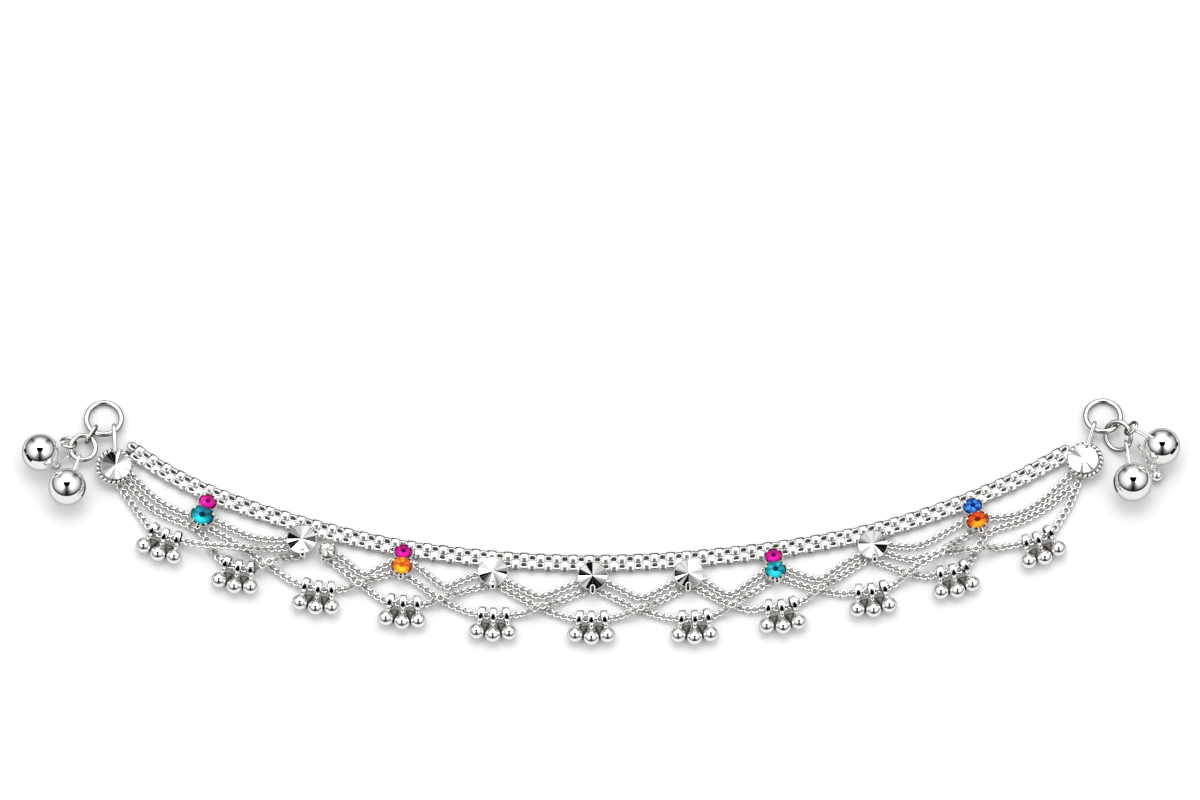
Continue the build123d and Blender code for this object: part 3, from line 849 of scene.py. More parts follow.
@dataclass(frozen=True)
class LinkChain:
    """A chain of lying links with a standing link between each two."""

    lying: Link
    standing: Link
    period: float
    roll: float = 0.0
    tip: float = 0.0
    unruly: float = 5.0
    core: float = 0.0
    core_drop: float = 0.2
    core_shade: float = 1.1
    core_step: float = 1.2
    core_end: float = 0.6

    def along(self, route: Route, across: float = 0.0, start: float = 0.0, seed: int = 0) -> list[Shape]:
        """Links all along a route, over a dark core of painted shade that shows through them.

        Args:
            route: the chain's middle.
            across: how far to the left of the route the row runs.
            start: where the first link is, as a share of a period.
            seed: which of the small irregularities it has.

        Returns:
            The links and their core.
        """
        lying, standing = self.lying.shape(), self.standing.shape()
        chance = random.Random(seed)
        periods = max(1, round((route.length - self.lying.length) / self.period))
        half = (route.length - self.lying.length) / periods / 2
        made = []
        for number in range(2 * periods + 1):
            distance = self.lying.length / 2 + number * half + start * 2 * half
            if distance > route.length - self.standing.length / 2:
                break
            heading = route.heading(distance)
            left = UP.cross(heading).normalized()
            upright = heading.cross(left)
            stands = number % 2 == 1
            roll = math.radians(self.roll + 90 * stands + chance.uniform(-self.unruly, self.unruly))
            normal = upright * math.cos(roll) + left * math.sin(roll)
            if not stands:
                normal = normal + heading * math.tan(math.radians(self.tip))
            link = standing if stands else lying
            made.append(link.moved(placed(route.at(distance) + left * across, heading, normal)))
        if self.core:
            made.append(self.core_along(route, across))
        return made

    def core_along(self, route: Route, across: float) -> Shape:
        """A dark wire inside the chain: painted shade that shows between the links.

        Args:
            route: the chain's middle.
            across: how far to the left of the route it runs.

        Returns:
            The core.
        """
        steps = max(4, int(route.length / self.core_step))
        path = []
        for distance in np.linspace(self.core_end, route.length - self.core_end, steps):
            left = UP.cross(route.heading(distance)).normalized()
            path.append(route.at(distance) + left * across - UP * self.core_drop)
        return wire_run(path, self.core, self.core_shade)


@dataclass
class Band:
    """The wide band: two rows of links side by side, the second half a period on."""

    chain: LinkChain = LinkChain(
        Link(2.75, 2.0, 0.87, 1.0, 9, 16), Link(2.45, 1.62, 0.6, 3.7, 9, 20), 3.74, unruly=2.5, core=0.34,
        core_shade=1.65)
    row_shift: float = 0.88

    def build(self, shop: Workshop) -> None:
        """Makes the band.

        Args:
            shop: what makes the pieces.
        """
        route = Route([(x, y, BAND_THICK / 2 + ROOM) for x, y in BAND_ROUTE])
        far = joined(self.chain.along(route, self.row_shift, 0.0, 1)).shaded_by_facing(0.7, 0.2, 0.1)
        near = joined(self.chain.along(route, -self.row_shift, 0.5, 2)).shaded_by_facing(0.7, 0.2, 0.3)
        shop.piece("band_links", joined([far, near]), LINKS, ["band_chain"])


@dataclass
class FineChains:
    """The short swags and the chains that carry the bells."""

    chain: LinkChain = LinkChain(
        Link(2.0, 1.98, 0.46, 1.0, 8, 10), Link(1.0, 1.6, 0.34, 1.4, 6, 8), 1.68, roll=8.0, tip=6.0, core=0.3,
        core_drop=0.35)
    reach: float = 1.7

    def build(self, shop: Workshop) -> None:
        """Makes every fine chain.

        Args:
            shop: what makes the pieces.
        """
        swags = [Route([(*point, LOW) for point in swag], self.reach) for swag in SHORT_SWAGS]
        self.along(shop, swags, "short_swag_links", "short_swags", 20)
        for number in range(len(CHAINS)):
            tag = f"{number + 1:02d}"
            route = bell_route(number, self.reach)
            self.along(shop, [route], f"bell_chain_links_{tag}", f"bell_chain_{tag}", 40 + number)

    def along(self, shop: Workshop, routes: Sequence[Route], name: str, node: str, seed: int) -> None:
        """Makes one piece of links along its routes."""
        links = [link for index, route in enumerate(routes) for link in self.chain.along(route, seed=seed + index)]
        shop.piece(name, joined(links).shaded_by_facing(0.75, 0.25, 0.45), FINE_LINKS, [node])


# ---- small bells ----
@dataclass
class BellBunch:
    """Three ball bells, each on a strap that goes round the chain."""

    ball_radius: float = 1.8
    strap_width: float = 1.45
    strap_outer: float = BAIL_RADIUS
    strap_inner: float = BAIL_RADIUS - 0.35
    strap_stretch: float = 1.35
    strap_shift: float = 0.25
    neck_bead: float = 0.6
    neck_radius: float = 0.36
    dark_dot_radius: float = 0.2
    around: int = 72
    across: int = 14
    edge_drop: float = 0.1
    hole_half_angle: float = 0.40
    hole_half_width: float = 0.34
    hole_taper: Pair = (1.25, 0.6)
    hole_lean: float = 2.1
    dimple: float = 0.12
    web_rim: tuple[Pair, ...] = (
        (0.75, -1.5), (2.95, -1.5), (2.8, -2.2), (2.1, -4.6), (1.8, -4.6), (0.9, -2.2))
    web_peak: Pair = (1.85, -2.2)
    web_heights: Triple = (0.3, 1.5, 1.75)

    def strap(self) -> Shape:
        """The strap about the Z axis, with a shallow dimple painted black as the shade of its hole, on the side that
        faces +X.
        """
        rows = []
        for index in range(self.across + 1):
            share = index / self.across - 0.5
            rows.append((self.strap_outer - self.edge_drop * (2 * share) ** 4, self.strap_width * share, True))
        rows += [(self.strap_inner, side * self.strap_width / 2, False) for side in (1, -1)]
        wide, narrowing = self.hole_taper
        points, painted_darkness = [], []
        for radius, height, outside in rows:
            for step in range(self.around):
                angle = math.tau * step / self.around
                turned = math.atan2(math.sin(angle), math.cos(angle))
                turned /= self.hole_half_angle
                half = self.hole_half_width * (wide - narrowing * turned)
                sunk = outside and turned**2 + (height / half) ** 2 < 1
                here = radius - (self.dimple if sunk else 0)
                points.append((here * math.cos(angle), here * math.sin(angle), height))
                # Painted shade: black in the dimple, brown along the strap's edges and on its inside.
                rim = abs(height) > self.strap_width * 0.49
                dark_level = PaintedDark.BLACK if sunk else (PaintedDark.GAP if rim or not outside else PaintedDark.OPEN)
                painted_darkness.append(dark_level.value)
        return shape_of(points, skin(len(rows), self.around, True), (), painted_darkness)

    def strap_place(self, bail_at: Vector, heading: Vector, down: Vector) -> Matrix:
        """Where a strap goes: its hole faces up over the ball, and it is longer away from the ball than tall.

        Args:
            bail_at: the middle of the strap.
            heading: the chain's direction through it.
            down: the way to the ball.

        Returns:
            The strap's place.
        """
        facing = down + UP * self.hole_lean
        lean = placed(bail_at, facing, heading)
        if (lean.to_3x3() @ Vector((0, 1, 0))).dot(down) > 0:
            lean = placed(bail_at, facing, -heading)
        level = Vector((down.x, down.y, 0)).normalized()
        longer = Matrix.Scale(self.strap_stretch, 4, level)
        shift = Matrix.Translation(bail_at - level * self.strap_shift)
        return shift @ longer @ Matrix.Translation(-bail_at) @ lean

    def bell(self, bail_at: Vector, heading: Vector, ball_at: Vector) -> list[Shape]:
        """One bell: its strap, neck, neck bead and ball.

        Args:
            bail_at: the middle of the strap.
            heading: the chain's direction through it.
            ball_at: the middle of the ball.

        Returns:
            The parts.
        """
        down = (ball_at - bail_at).normalized()
        bead_at = bail_at + down * (self.strap_outer * self.strap_stretch - self.strap_shift + self.neck_bead * 0.7)
        # A small ball painted black on top of the neck bead: a painted dark reflection.
        dark_dot_at = bead_at + (UP - down * 0.2).normalized() * (self.neck_bead - 0.04)
        return [
            self.strap().moved(self.strap_place(bail_at, heading, down)),
            # The neck is painted brown: painted shade between the strap and the ball.
            rod(ball_at, bail_at + down * (self.strap_outer - self.strap_shift), self.neck_radius).all_painted_dark(PaintedDark.DULL),
            ball(bead_at, self.neck_bead, 24),
            ball(dark_dot_at, self.dark_dot_radius, 12).all_painted_dark(PaintedDark.BLACK),
            ball(ball_at, self.ball_radius, 64),
        ]

    def web(self, side: int) -> Shape:
        """A dark wedge between two necks that narrows towards the balls: painted shade between the bells.

        Args:
            side: 1 for the one at the right, -1 for the left.

        Returns:
            The wedge.
        """
        bottom, shoulder, peak = self.web_heights
        count = len(self.web_rim)
        points = [(side * x, y, height) for height in (bottom, shoulder) for x, y in self.web_rim]
        points.append((side * self.web_peak[0], self.web_peak[1], peak))
        tris = [(count + i, count + (i + 1) % count, 2 * count) for i in range(count)]
        tris += [(0, i + 1, i) for i in range(1, count - 1)]
        quads, tris = [[face[::-side] for face in faces] for faces in (skin(2, count), tris)]
        return shape_of(points, quads, tris, [PaintedDark.DEEP_SHADE.value] * (2 * count) + [PaintedDark.DIM_SHADE.value])

    def build(self, shop: Workshop, number: int) -> None:
        """Makes one bunch.

        Args:
            shop: what makes the piece.
            number: which bunch.
        """
        place, route = bunch_frame(number), bell_route(number)
        parts = []
        for index, (dx, dy) in enumerate(BELL_OFFSETS):
            distance = route.at_x((place @ Vector(((index - 1) * BAIL_SPACING, 0, 0))).x)
            parts += self.bell(route.at(distance), route.heading(distance), place @ Vector((dx, dy, self.ball_radius)))
        # Painted shade: dark wedges between the middle bell and the bells beside it.
        parts += [self.web(side).moved(place) for side in (-1, 1)]
        shop.piece(f"bells_{number + 1:02d}", joined(parts), BELLS, [f"bell_bunch_{number + 1:02d}"])


# ---- mirror discs ----
# Tones of the painted reflections on the mirror facets, from bright silver to black.
TONES = {".": 1.0, ",": 0.27, "-": 0.2, "g": 0.11, "+": 0.033, "#": 0.0}


@dataclass(frozen=True)
class KeyLoop:
    """A long wire loop over a slot painted black as the shade in its hole: its outer length and width, and the wire's
    diameter.
    """

    length: float
    width: float
    wire: float
    lean: float = 0.12
    slot: Pair = (-0.12, -0.45)

    def shapes(self, reach: float, height: float) -> list[Shape]:
        """The loop and its slot of painted shade, below something at the origin.

        Args:
            reach: how far below the origin its middle is.
            height: the wire's height.

        Returns:
            The loop, then the slot.
        """
        place = placed((0, -reach, height), (0, 1, 0), (0, -self.lean, 1))
        edge = oval_path(self.length - self.width, (self.width - self.wire) / 2, 10)
        count = len(edge)
        points = [(p.x, p.y, level) for level in self.slot for p in edge] + [(0, 0, level) for level in self.slot]
        fan = [(2 * count, (i + 1) % count, i) for i in range(count)]
        fan += [(2 * count + 1, count + i, count + (i + 1) % count) for i in range(count)]
        slot = shape_of(points, skin(2, count), fan)
        return [wire_loop(edge, self.wire / 2, 12).moved(place), slot.all_painted_dark(PaintedDark.BLACK).moved(place)]


@dataclass
class MirrorDisc:
    """A round mirror cut in half facets that meet at its middle, whose tones are painted reflections.

    Its chart gives each half facet's tone at the rim, clockwise from the top, and its inner chart the tone at the
    middle where that differs.
    """

    node: str
    x: float
    y: float
    turn: float
    chart: str
    inner: str = ""
    radius: float = 3.5
    foot: float = SEAT
    rim: float = 0.5
    rise: float = 0.26
    fold: float = 0.015
    ridge: float = 0.4
    ridge_highlight: float = 0.1
    lean: float = 6.0
    sectors: int = 24
    loop: KeyLoop = KeyLoop(2.4, 1.35, 0.42)

    def facets(self) -> Shape:
        """The flat facets and the ridges between them, painted brighter as highlights, about the origin."""
        rim_radius = self.radius - 0.2
        top = self.foot + self.rim
        apex = (0.0, 0.0, top + self.rise)
        step = 360 / self.sectors
        cut = Facets()

        def rim_point(degrees: float, boundary: int) -> Triple:
            """A point of the rim, a little lower at every other boundary."""
            angle = math.radians(degrees)
            height = top - (self.fold if boundary % 2 else -self.fold)
            return rim_radius * math.sin(angle), rim_radius * math.cos(angle), height

        outer, inner = ([TONES[mark] for mark in chart] for chart in (self.chart, self.inner or self.chart))
        for sector in range(self.sectors):
            even = sector % 2 == 0
            start = rim_point(step * sector + self.ridge * even, sector)
            end = rim_point(step * (sector + 1) - self.ridge * (not even), sector + 1)
            cut.add((apex, start, end), (inner[sector], outer[sector], outer[sector]))
            if even:
                # Each ridge is painted a little brighter than the facets on either side: a painted highlight.
                light = min(1.0, (outer[sector] + outer[sector - 1]) / 2 + self.ridge_highlight)
                edges = [rim_point(step * sector + trim, 0) for trim in (-self.ridge, self.ridge)]
                cut.add((apex, *edges), (light,) * 3)
        shape = cut.shape()
        shape.points[:, 2] += self.slope(shape.points)
        return shape

    def slope(self, points: np.ndarray) -> np.ndarray:
        """How much the mirror's lean lifts each point: nothing at its back edge."""
        return (self.radius - points[:, 1]) * math.tan(math.radians(self.lean))

    def body(self) -> Shape:
        """The disc's back and its bright rounded rim, about the origin."""
        low, top, edge = self.foot, self.foot + self.rim, self.radius
        profile = [
            (0, low), (edge - 0.3, low), (edge - 0.05, low + 0.12), (edge, low + 0.28), (edge - 0.05, top - 0.02),
            (edge - 0.16, top + 0.05), (edge - 0.3, top - 0.08), (0, top - 0.1),
        ]
        shape = lathe(profile, 72)
        raised = shape.points[:, 2] > low + 0.2
        shape.points[:, 2] += np.where(raised, self.slope(shape.points), 0)
        return shape

    def fittings(self) -> list[Shape]:
        """The key loop that the chains hang from."""
        turn = Matrix.Rotation(math.radians(self.turn), 4, "Z")
        return [part.moved(turn) for part in self.loop.shapes(self.radius - 0.15, self.foot + 1.25)]

    def build(self, shop: Workshop) -> None:
        """Makes the disc and its fittings.

        Args:
            shop: what makes the pieces.
        """
        place = Matrix.Translation((self.x, self.y, 0))
        shop.piece(f"{self.node}_facets", self.facets().moved(place), FACETS)
        parts = [part.moved(place) for part in [self.body(), *self.fittings()]]
        shop.piece(f"{self.node}_setting", joined(parts).shaded_by_facing(0.75, 0.3), WIRE, [self.node])


@dataclass
class EndDisc(MirrorDisc):
    """A larger disc on a twisted wire collar, with the eye that holds the end ring.

    Outward is -1 at the left end and 1 at the right, and grip is the middle of the end ring's wire in the eye.
    """

    radius: float = 3.55
    foot: float = SEAT + 0.45
    outward: float = -1.0
    grip: Triple = (0, 0, 0)
    collar_wire: float = 1.05
    collar_shift: float = 0.45
    twists: int = 11
    twist_steps: int = 20

    def collar(self) -> list[Shape]:
        """Two wires twisted round each other in a ring, over a wire painted black: painted shade between them."""
        steps, strand = self.twists * self.twist_steps, self.collar_wire * 0.34
        middle_radius = END_COLLAR_RADIUS + 0.12
        middle = Vector((self.outward * self.collar_shift, -0.6 * self.collar_shift, SEAT + self.collar_wire / 2))
        made = []
        for phase in (0.0, math.pi):
            path = []
            for step in range(steps):
                angle = math.tau * step / steps
                twist = angle * self.twists + phase
                out = middle_radius + strand * math.cos(twist)
                path.append(Vector((out * math.cos(angle), out * math.sin(angle), strand * math.sin(twist))) + middle)
            made.append(wire_loop(path, strand * 1.05, 10))
        # A black wire under the strands: painted shade.
        inside = wire_loop(circle_path(middle_radius, 72), strand * 0.9, 8).all_painted_dark(PaintedDark.BLACK)
        return [*made, inside.moved(Matrix.Translation(middle))]

    def fittings(self) -> list[Shape]:
        """The collar, a plate under the mirror and the eye."""
        plate = pin(self.radius - 0.4, SEAT, self.foot + ROOM, 48)
        grip = Vector(self.grip) - Vector((self.x, self.y, 0))
        toward = Vector((grip.x, grip.y, 0)).normalized()
        root = toward * (END_COLLAR_RADIUS + 0.3) + UP * SEAT
        return [*self.collar(), plate, long_link(grip, root, RING_ROOM, BAIL_WIRE + 0.3)]


# ---- stones and their settings ----
DIGITS = "0123456789"


@dataclass(frozen=True)
class Stone:
    """An oval cut stone: its node, finish, size and the look of its crown, clockwise from the top.

    Each digit of the chart is one side's tone of painted light and shade, from 0, dark, to 9. Heart is the painted dark
    tone of its middle.
    """

    node: str
    finish: CrystalFinish
    width: float
    height: float
    offset: float
    chart: str
    heart: float = 0.02
    lift: float = 0.0


@dataclass
class Setting:
    """Two stones in an oval cup with claws, and a key loop below.

    The stones' levels, from the girdle up, are a share of their width and of their rise. Claws are given as a
    stone's number and the angles round it.
    """

    node: str
    x: float
    y: float
    turn: float
    stones: tuple[Stone, ...]
    claws: tuple[tuple[int, tuple[float, ...]], ...] = ((0, (48, 132)), (1, (28, 152, -52, -128)))
    plate: float = SETTING_PLATE
    rise: float = 1.5
    girdle: Pair = (0.98, 0.45)
    shoulder: Pair = (0.76, 0.8)
    table: float = 0.31
    point: float = 0.6
    under_tone: float = 0.1
    loop: KeyLoop = KeyLoop(2.1, 1.3, 0.42)
    claw_radius: float = 0.36
    claw_height: float = 1.3
    claw_gap: float = 0.02
    dark_dot_radius: float = 0.13

    def crown(self, stone: Stone) -> Shape:
        """A stone's facets, each with its own points so that it stays flat.

        Args:
            stone: which one.

        Returns:
            The facets about the setting's middle.
        """
        foot = SEAT + self.plate + ROOM
        sides = len(stone.chart)
        cut = Facets()

        def level(step: float, share: float, height: float) -> Triple:
            """A corner of one level, clockwise from the top."""
            angle = math.tau * step / sides
            return (stone.width / 2 * share * math.sin(angle), stone.height / 2 * share * math.cos(angle), height)

        girdle, shoulder = ((share, foot + rise * self.rise) for share, rise in (self.girdle, self.shoulder))
        table = (self.table, foot + self.rise)
        # The facets underneath are painted dark: painted shade.
        centre, under = (0, 0, foot + self.rise), (self.under_tone,) * 3
        for side in range(sides):
            tone, after = (DIGITS.index(stone.chart[(side + turn) % sides]) / 9 for turn in (0, 1))
            low_a, low_b = level(side, *girdle), level(side + 1, *girdle)
            mid, mid_before = level(side + 0.5, *shoulder), level(side - 0.5, *shoulder)
            top_a, top_b = level(side, *table), level(side + 1, *table)
            deep_a, deep_b = level(side, self.point, foot), level(side + 1, self.point, foot)
            # Painted light and shade: facets low on the crown darker, those by the table brighter, and the table dark
            # towards its middle.
            dim = tone * 0.72
            cut.add((low_a, low_b, mid), (dim, dim * 0.9, tone))
            cut.add((mid_before, low_a, mid), (tone * 0.9, tone * 0.8, tone))
            cut.add((top_a, mid_before, mid), (tone, tone, tone))
            cut.add((top_a, mid, top_b), (min(1.0, tone * 1.15),) * 3)
            cut.add((centre, top_a, top_b), (stone.heart, stone.heart * 2, (tone + after) * 0.12))
            cut.add((low_a, deep_a, low_b), under)
            cut.add((low_b, deep_a, deep_b), under)
            cut.add(((0, 0, foot), deep_b, deep_a), under)
        return cut.shape().moved(Matrix.Translation((0, stone.offset, stone.lift)))

    def cup(self, stone: Stone) -> Shape:
        """The bright rim round a stone.

        Args:
            stone: which one.

        Returns:
            The rim.
        """
        outside, wire_radius, squash, height = 0.22, 0.25, 2.3, 0.58
        size = Matrix.Diagonal((stone.width / 2 + outside, stone.height / 2 + outside, 1))
        path = [size @ point for point in circle_path(1, 56)]
        return wire_loop(path, wire_radius, 12, squash).moved(Matrix.Translation((0, stone.offset, SEAT + height)))

    def floor_plate(self) -> Shape:
        """The cup's floor under all its stones."""
        plates = []
        for stone in self.stones:
            disc = pin(1, 0, self.plate, 40)
            size = Matrix.Diagonal((stone.width / 2 + 0.15, stone.height / 2 + 0.15, 1, 1))
            plates.append(disc.moved(Matrix.Translation((0, stone.offset, SEAT)) @ size))
        return joined(plates)

    def claw_shapes(self) -> list[Shape]:
        """The claws, each a rounded pin that closes over its stone, the lower ones with a small ball painted black on
        top: a painted dark reflection.
        """
        made = []
        for index, angles in self.claws:
            stone = self.stones[index]
            for degrees in angles:
                angle = math.radians(degrees)
                edge = Vector((stone.width / 2 * math.cos(angle), stone.height / 2 * math.sin(angle) + stone.offset, 0))
                outward = Vector((math.cos(angle) / stone.width, math.sin(angle) / stone.height, 0)).normalized()
                foot = edge + outward * (self.claw_radius + self.claw_gap) + UP * SEAT
                top = edge + outward * self.claw_gap + UP * (SEAT + self.plate + self.claw_height - self.claw_radius)
                made += [rod(foot, top, self.claw_radius * 0.85, 14), ball(top, self.claw_radius, 20)]
                if degrees < 0 or degrees > 180:
                    dark_dot_at = top + UP * (self.claw_radius - 0.05) + outward * 0.04
                    made.append(ball(dark_dot_at, self.dark_dot_radius, 12).all_painted_dark(PaintedDark.BLACK))
        return made

    def loop_shapes(self) -> list[Shape]:
        """The key loop below the lower stone."""
        last = self.stones[-1]
        return self.loop.shapes(last.height / 2 - last.offset + 0.35, SEAT + 1.0)

    def build(self, shop: Workshop) -> None:
        """Makes the setting and its stones.

        Args:
            shop: what makes the pieces.
        """
        place = Matrix.Translation((self.x, self.y, 0)) @ Matrix.Rotation(math.radians(self.turn), 4, "Z")
        parts = [self.floor_plate(), *(self.cup(stone) for stone in self.stones), *self.claw_shapes()]
        parts += self.loop_shapes()
        metal = joined([part.moved(place) for part in parts]).shaded_by_facing(0.45, 0.0)
        shop.piece(f"{self.node}_cup", metal, WIRE, [self.node])
        for stone in self.stones:
            shape = self.crown(stone).moved(place)
            shop.piece(f"{stone.node}_cut", shape, stone.finish, [stone.node])


MAGENTA = CrystalFinish("magenta", (0.02, 0.0, 0.04), (0.46, 0.0, 0.17), (0.95, 0.015, 0.50))
TEAL = CrystalFinish("teal", (0.0, 0.006, 0.02), (0.0, 0.20, 0.28), (0.03, 0.72, 0.80))
ORANGE = CrystalFinish("orange", (0.10, 0.012, 0.0), (0.75, 0.13, 0.004), (1.0, 0.62, 0.02))
CYAN = CrystalFinish("cyan", (0.0, 0.008, 0.02), (0.0, 0.27, 0.36), (0.03, 0.72, 0.85))
BLUE = CrystalFinish("blue", (0.0, 0.004, 0.06), (0.01, 0.08, 0.45), (0.08, 0.36, 0.95))
ORANGE_RED = CrystalFinish("orange_red", (0.08, 0.004, 0.0), (0.70, 0.07, 0.004), (1.0, 0.45, 0.02))
CLEAR = CrystalFinish("clear_stone", (0.06, 0.06, 0.055), (0.46, 0.46, 0.44), (0.97, 0.97, 0.95))

SETTINGS = (
    Setting("setting_02", -90.8, 2.15, -21, (
        Stone("stone_02_upper", MAGENTA, 3.8, 3.2, 1.75, "3466789864"),
        Stone("stone_02_lower", TEAL, 5.1, 4.4, -1.7, "231468996453"))),
    Setting("setting_04", -45.32, -9.6, -6, (
        Stone("stone_04_upper", MAGENTA, 3.8, 3.1, 1.55, "3356899653"),
        Stone("stone_04_lower", ORANGE, 4.5, 4.1, -1.75, "634369986354", heart=0.3, lift=0.2))),
    Setting("setting_08", 40.05, -10.6, 8, (
        Stone("stone_08_upper", MAGENTA, 3.8, 3.1, 1.55, "3356899653"),
        Stone("stone_08_lower", CYAN, 4.5, 4.1, -1.75, "362538997463", lift=0.2))),
    Setting("setting_10", 86.2, 1.2, 18, (
        Stone("stone_10_upper", BLUE, 4.1, 3.3, 1.65, "2647296845"),
        Stone("stone_10_lower", ORANGE_RED, 4.9, 3.9, -1.85, "434268996342"))),
)


@dataclass
class ClearSetting(Setting):
    """The single round clear stone with four claws."""

    claw_height: float = 1.0
    loop: KeyLoop = KeyLoop(1.5, 1.1, 0.38)

    def loop_shapes(self) -> list[Shape]:
        """Its loop points down and to the left."""
        turn = Matrix.Rotation(math.radians(-25), 4, "Z")
        return [part.moved(turn) for part in self.loop.shapes(self.stones[0].width / 2 + 0.5, SEAT + 0.4)]


CLEAR_SETTING = ClearSetting("clear_setting", -62.6, -7.7, 0, (
    Stone("stone_clear", CLEAR, 3.4, 3.4, 0.0, "84739286579", 0.4),), ((0, (45, 135, -45, -135)),))

# Each disc's charts paint its facets' reflections.
DISCS = (
    MirrorDisc("disc_03", -68.6, -5.0, 4, ",.--,++.-g.....##.##gg--"),
    MirrorDisc("disc_05", -24.6, -12.6, 0, ".,--,g#.,-g,.-+##..,,...", ".,--,g#.,--,.-g+#..,,..."),
    MirrorDisc("disc_06", -1.7, -13.7, 0, ",,--g+.g+#####-g,.##,,##", ",,--g-.--#####-g,.#+,,##"),
    MirrorDisc("disc_07", 20.4, -13.1, -3, "....,-,.-ggg##-#.##-,-,-", "....,-,.-ggg##g+.+g-,-,-"),
    MirrorDisc("disc_09", 62.7, -6.2, 6, "-,-g+.###.-,..,-..+g--,,", "-,-gg.###.-,..,-..+-,-,,"),
)


# ---- end fittings ----
def long_link(start: Vector, end: Vector, room: float, wire: float) -> Shape:
    """A long link that stands on edge and holds a wire at each of its ends.

    Args:
        start: the middle of one held wire.
        end: the middle of the other.
        room: from a held wire's middle to the link's own middle.
        wire: the link's diameter.

    Returns:
        The link.
    """
    along = end - start
    loop = wire_loop(oval_path(along.length, room, 16), wire / 2, 18)
    return loop.moved(placed((start + end) / 2, along, along.cross(UP)))


def ring(place: Matrix, radius: float, wire: float) -> Shape:
    """A round ring of wire in a plane, with painted shade on its sides and a painted dark reflection in a line along
    its middle.

    Args:
        place: its plane.
        radius: of the wire's middle.
        wire: the wire's diameter.

    Returns:
        The ring.
    """
    sides, line = 24, 0.95
    shape = wire_loop(circle_path(radius, 112), wire / 2, sides).moved(place).shaded_by_facing(0.8, 0.58)
    # A dark line along the top of the wire: a painted reflection.
    shape.painted_darkness[sides // 4::sides] = line
    return shape


def on_ring(place: Matrix, radius: float, degrees: float) -> Vector:
    """The middle of a ring's wire at an angle from its plane's X."""
    return place @ (bearing(degrees) * radius)


def bearing(degrees: float) -> Vector:
    """The level direction at an angle from +X."""
    return Vector((math.cos(math.radians(degrees)), math.sin(math.radians(degrees)), 0))


def jump_place(wire_at: Vector, outward: Vector, wire_along: Vector, twist: float) -> Matrix:
    """The plane of a jump ring that holds a wire and reaches outward from it.

    Args:
        wire_at: the middle of the held wire.
        outward: where the ring reaches.
        wire_along: the way that the wire runs.
        twist: degrees that the ring is turned about its reach.

    Returns:
        The ring's plane.
    """
    play, turn = 0.25, math.radians(twist)
    second = wire_along * math.cos(turn) + outward.cross(wire_along) * math.sin(turn)
    centre = wire_at + outward * (JUMP_RADIUS - JUMP_WIRE / 2 - MEDIUM_WIRE / 2 - play)
    return placed(centre, outward, outward.cross(second))


@dataclass
class AnkletEnd:
    """One end: the end ring, what hangs from it and the end disc whose eye holds it."""

    side: str
    outward: float
    place: Pair
    lift: float
    disc_at: Pair
    disc_grip: float
    chart: str
    medium_radius: float
    medium_wire: float

    def end_ring(self) -> Matrix:
        """The end ring's plane: its far side lies down and its near side is lifted."""
        rest = END_RING_WIRE / 2 + 0.02
        tilt = math.asin((self.lift - rest) / (2 * END_RING_RADIUS))
        return placed((*self.place, (self.lift + rest) / 2), RIGHT, (0, math.sin(tilt), math.cos(tilt)))

    def ring_piece(self, shop: Workshop, name: str, place: Matrix, radius: float, wire: float) -> None:
        """Makes one of its rings."""
        shop.piece(f"{self.side}_{name}_wire", ring(place, radius, wire), RINGS, [f"{name}_{self.side}"])

    def build(self, shop: Workshop) -> None:
        """Makes the end.

        Args:
            shop: what makes the pieces.
        """
        big = self.end_ring()
        self.ring_piece(shop, "end_ring", big, END_RING_RADIUS, END_RING_WIRE)
        grip = on_ring(big, END_RING_RADIUS, self.disc_grip)
        name = f"end_disc_{self.side}"
        EndDisc(name, *self.disc_at, 0, self.chart, outward=self.outward, grip=tuple(grip)).build(shop)
        self.hang(shop, big)

    def hang(self, shop: Workshop, big: Matrix) -> None:
        """Makes what hangs from the end ring."""
        raise NotImplementedError


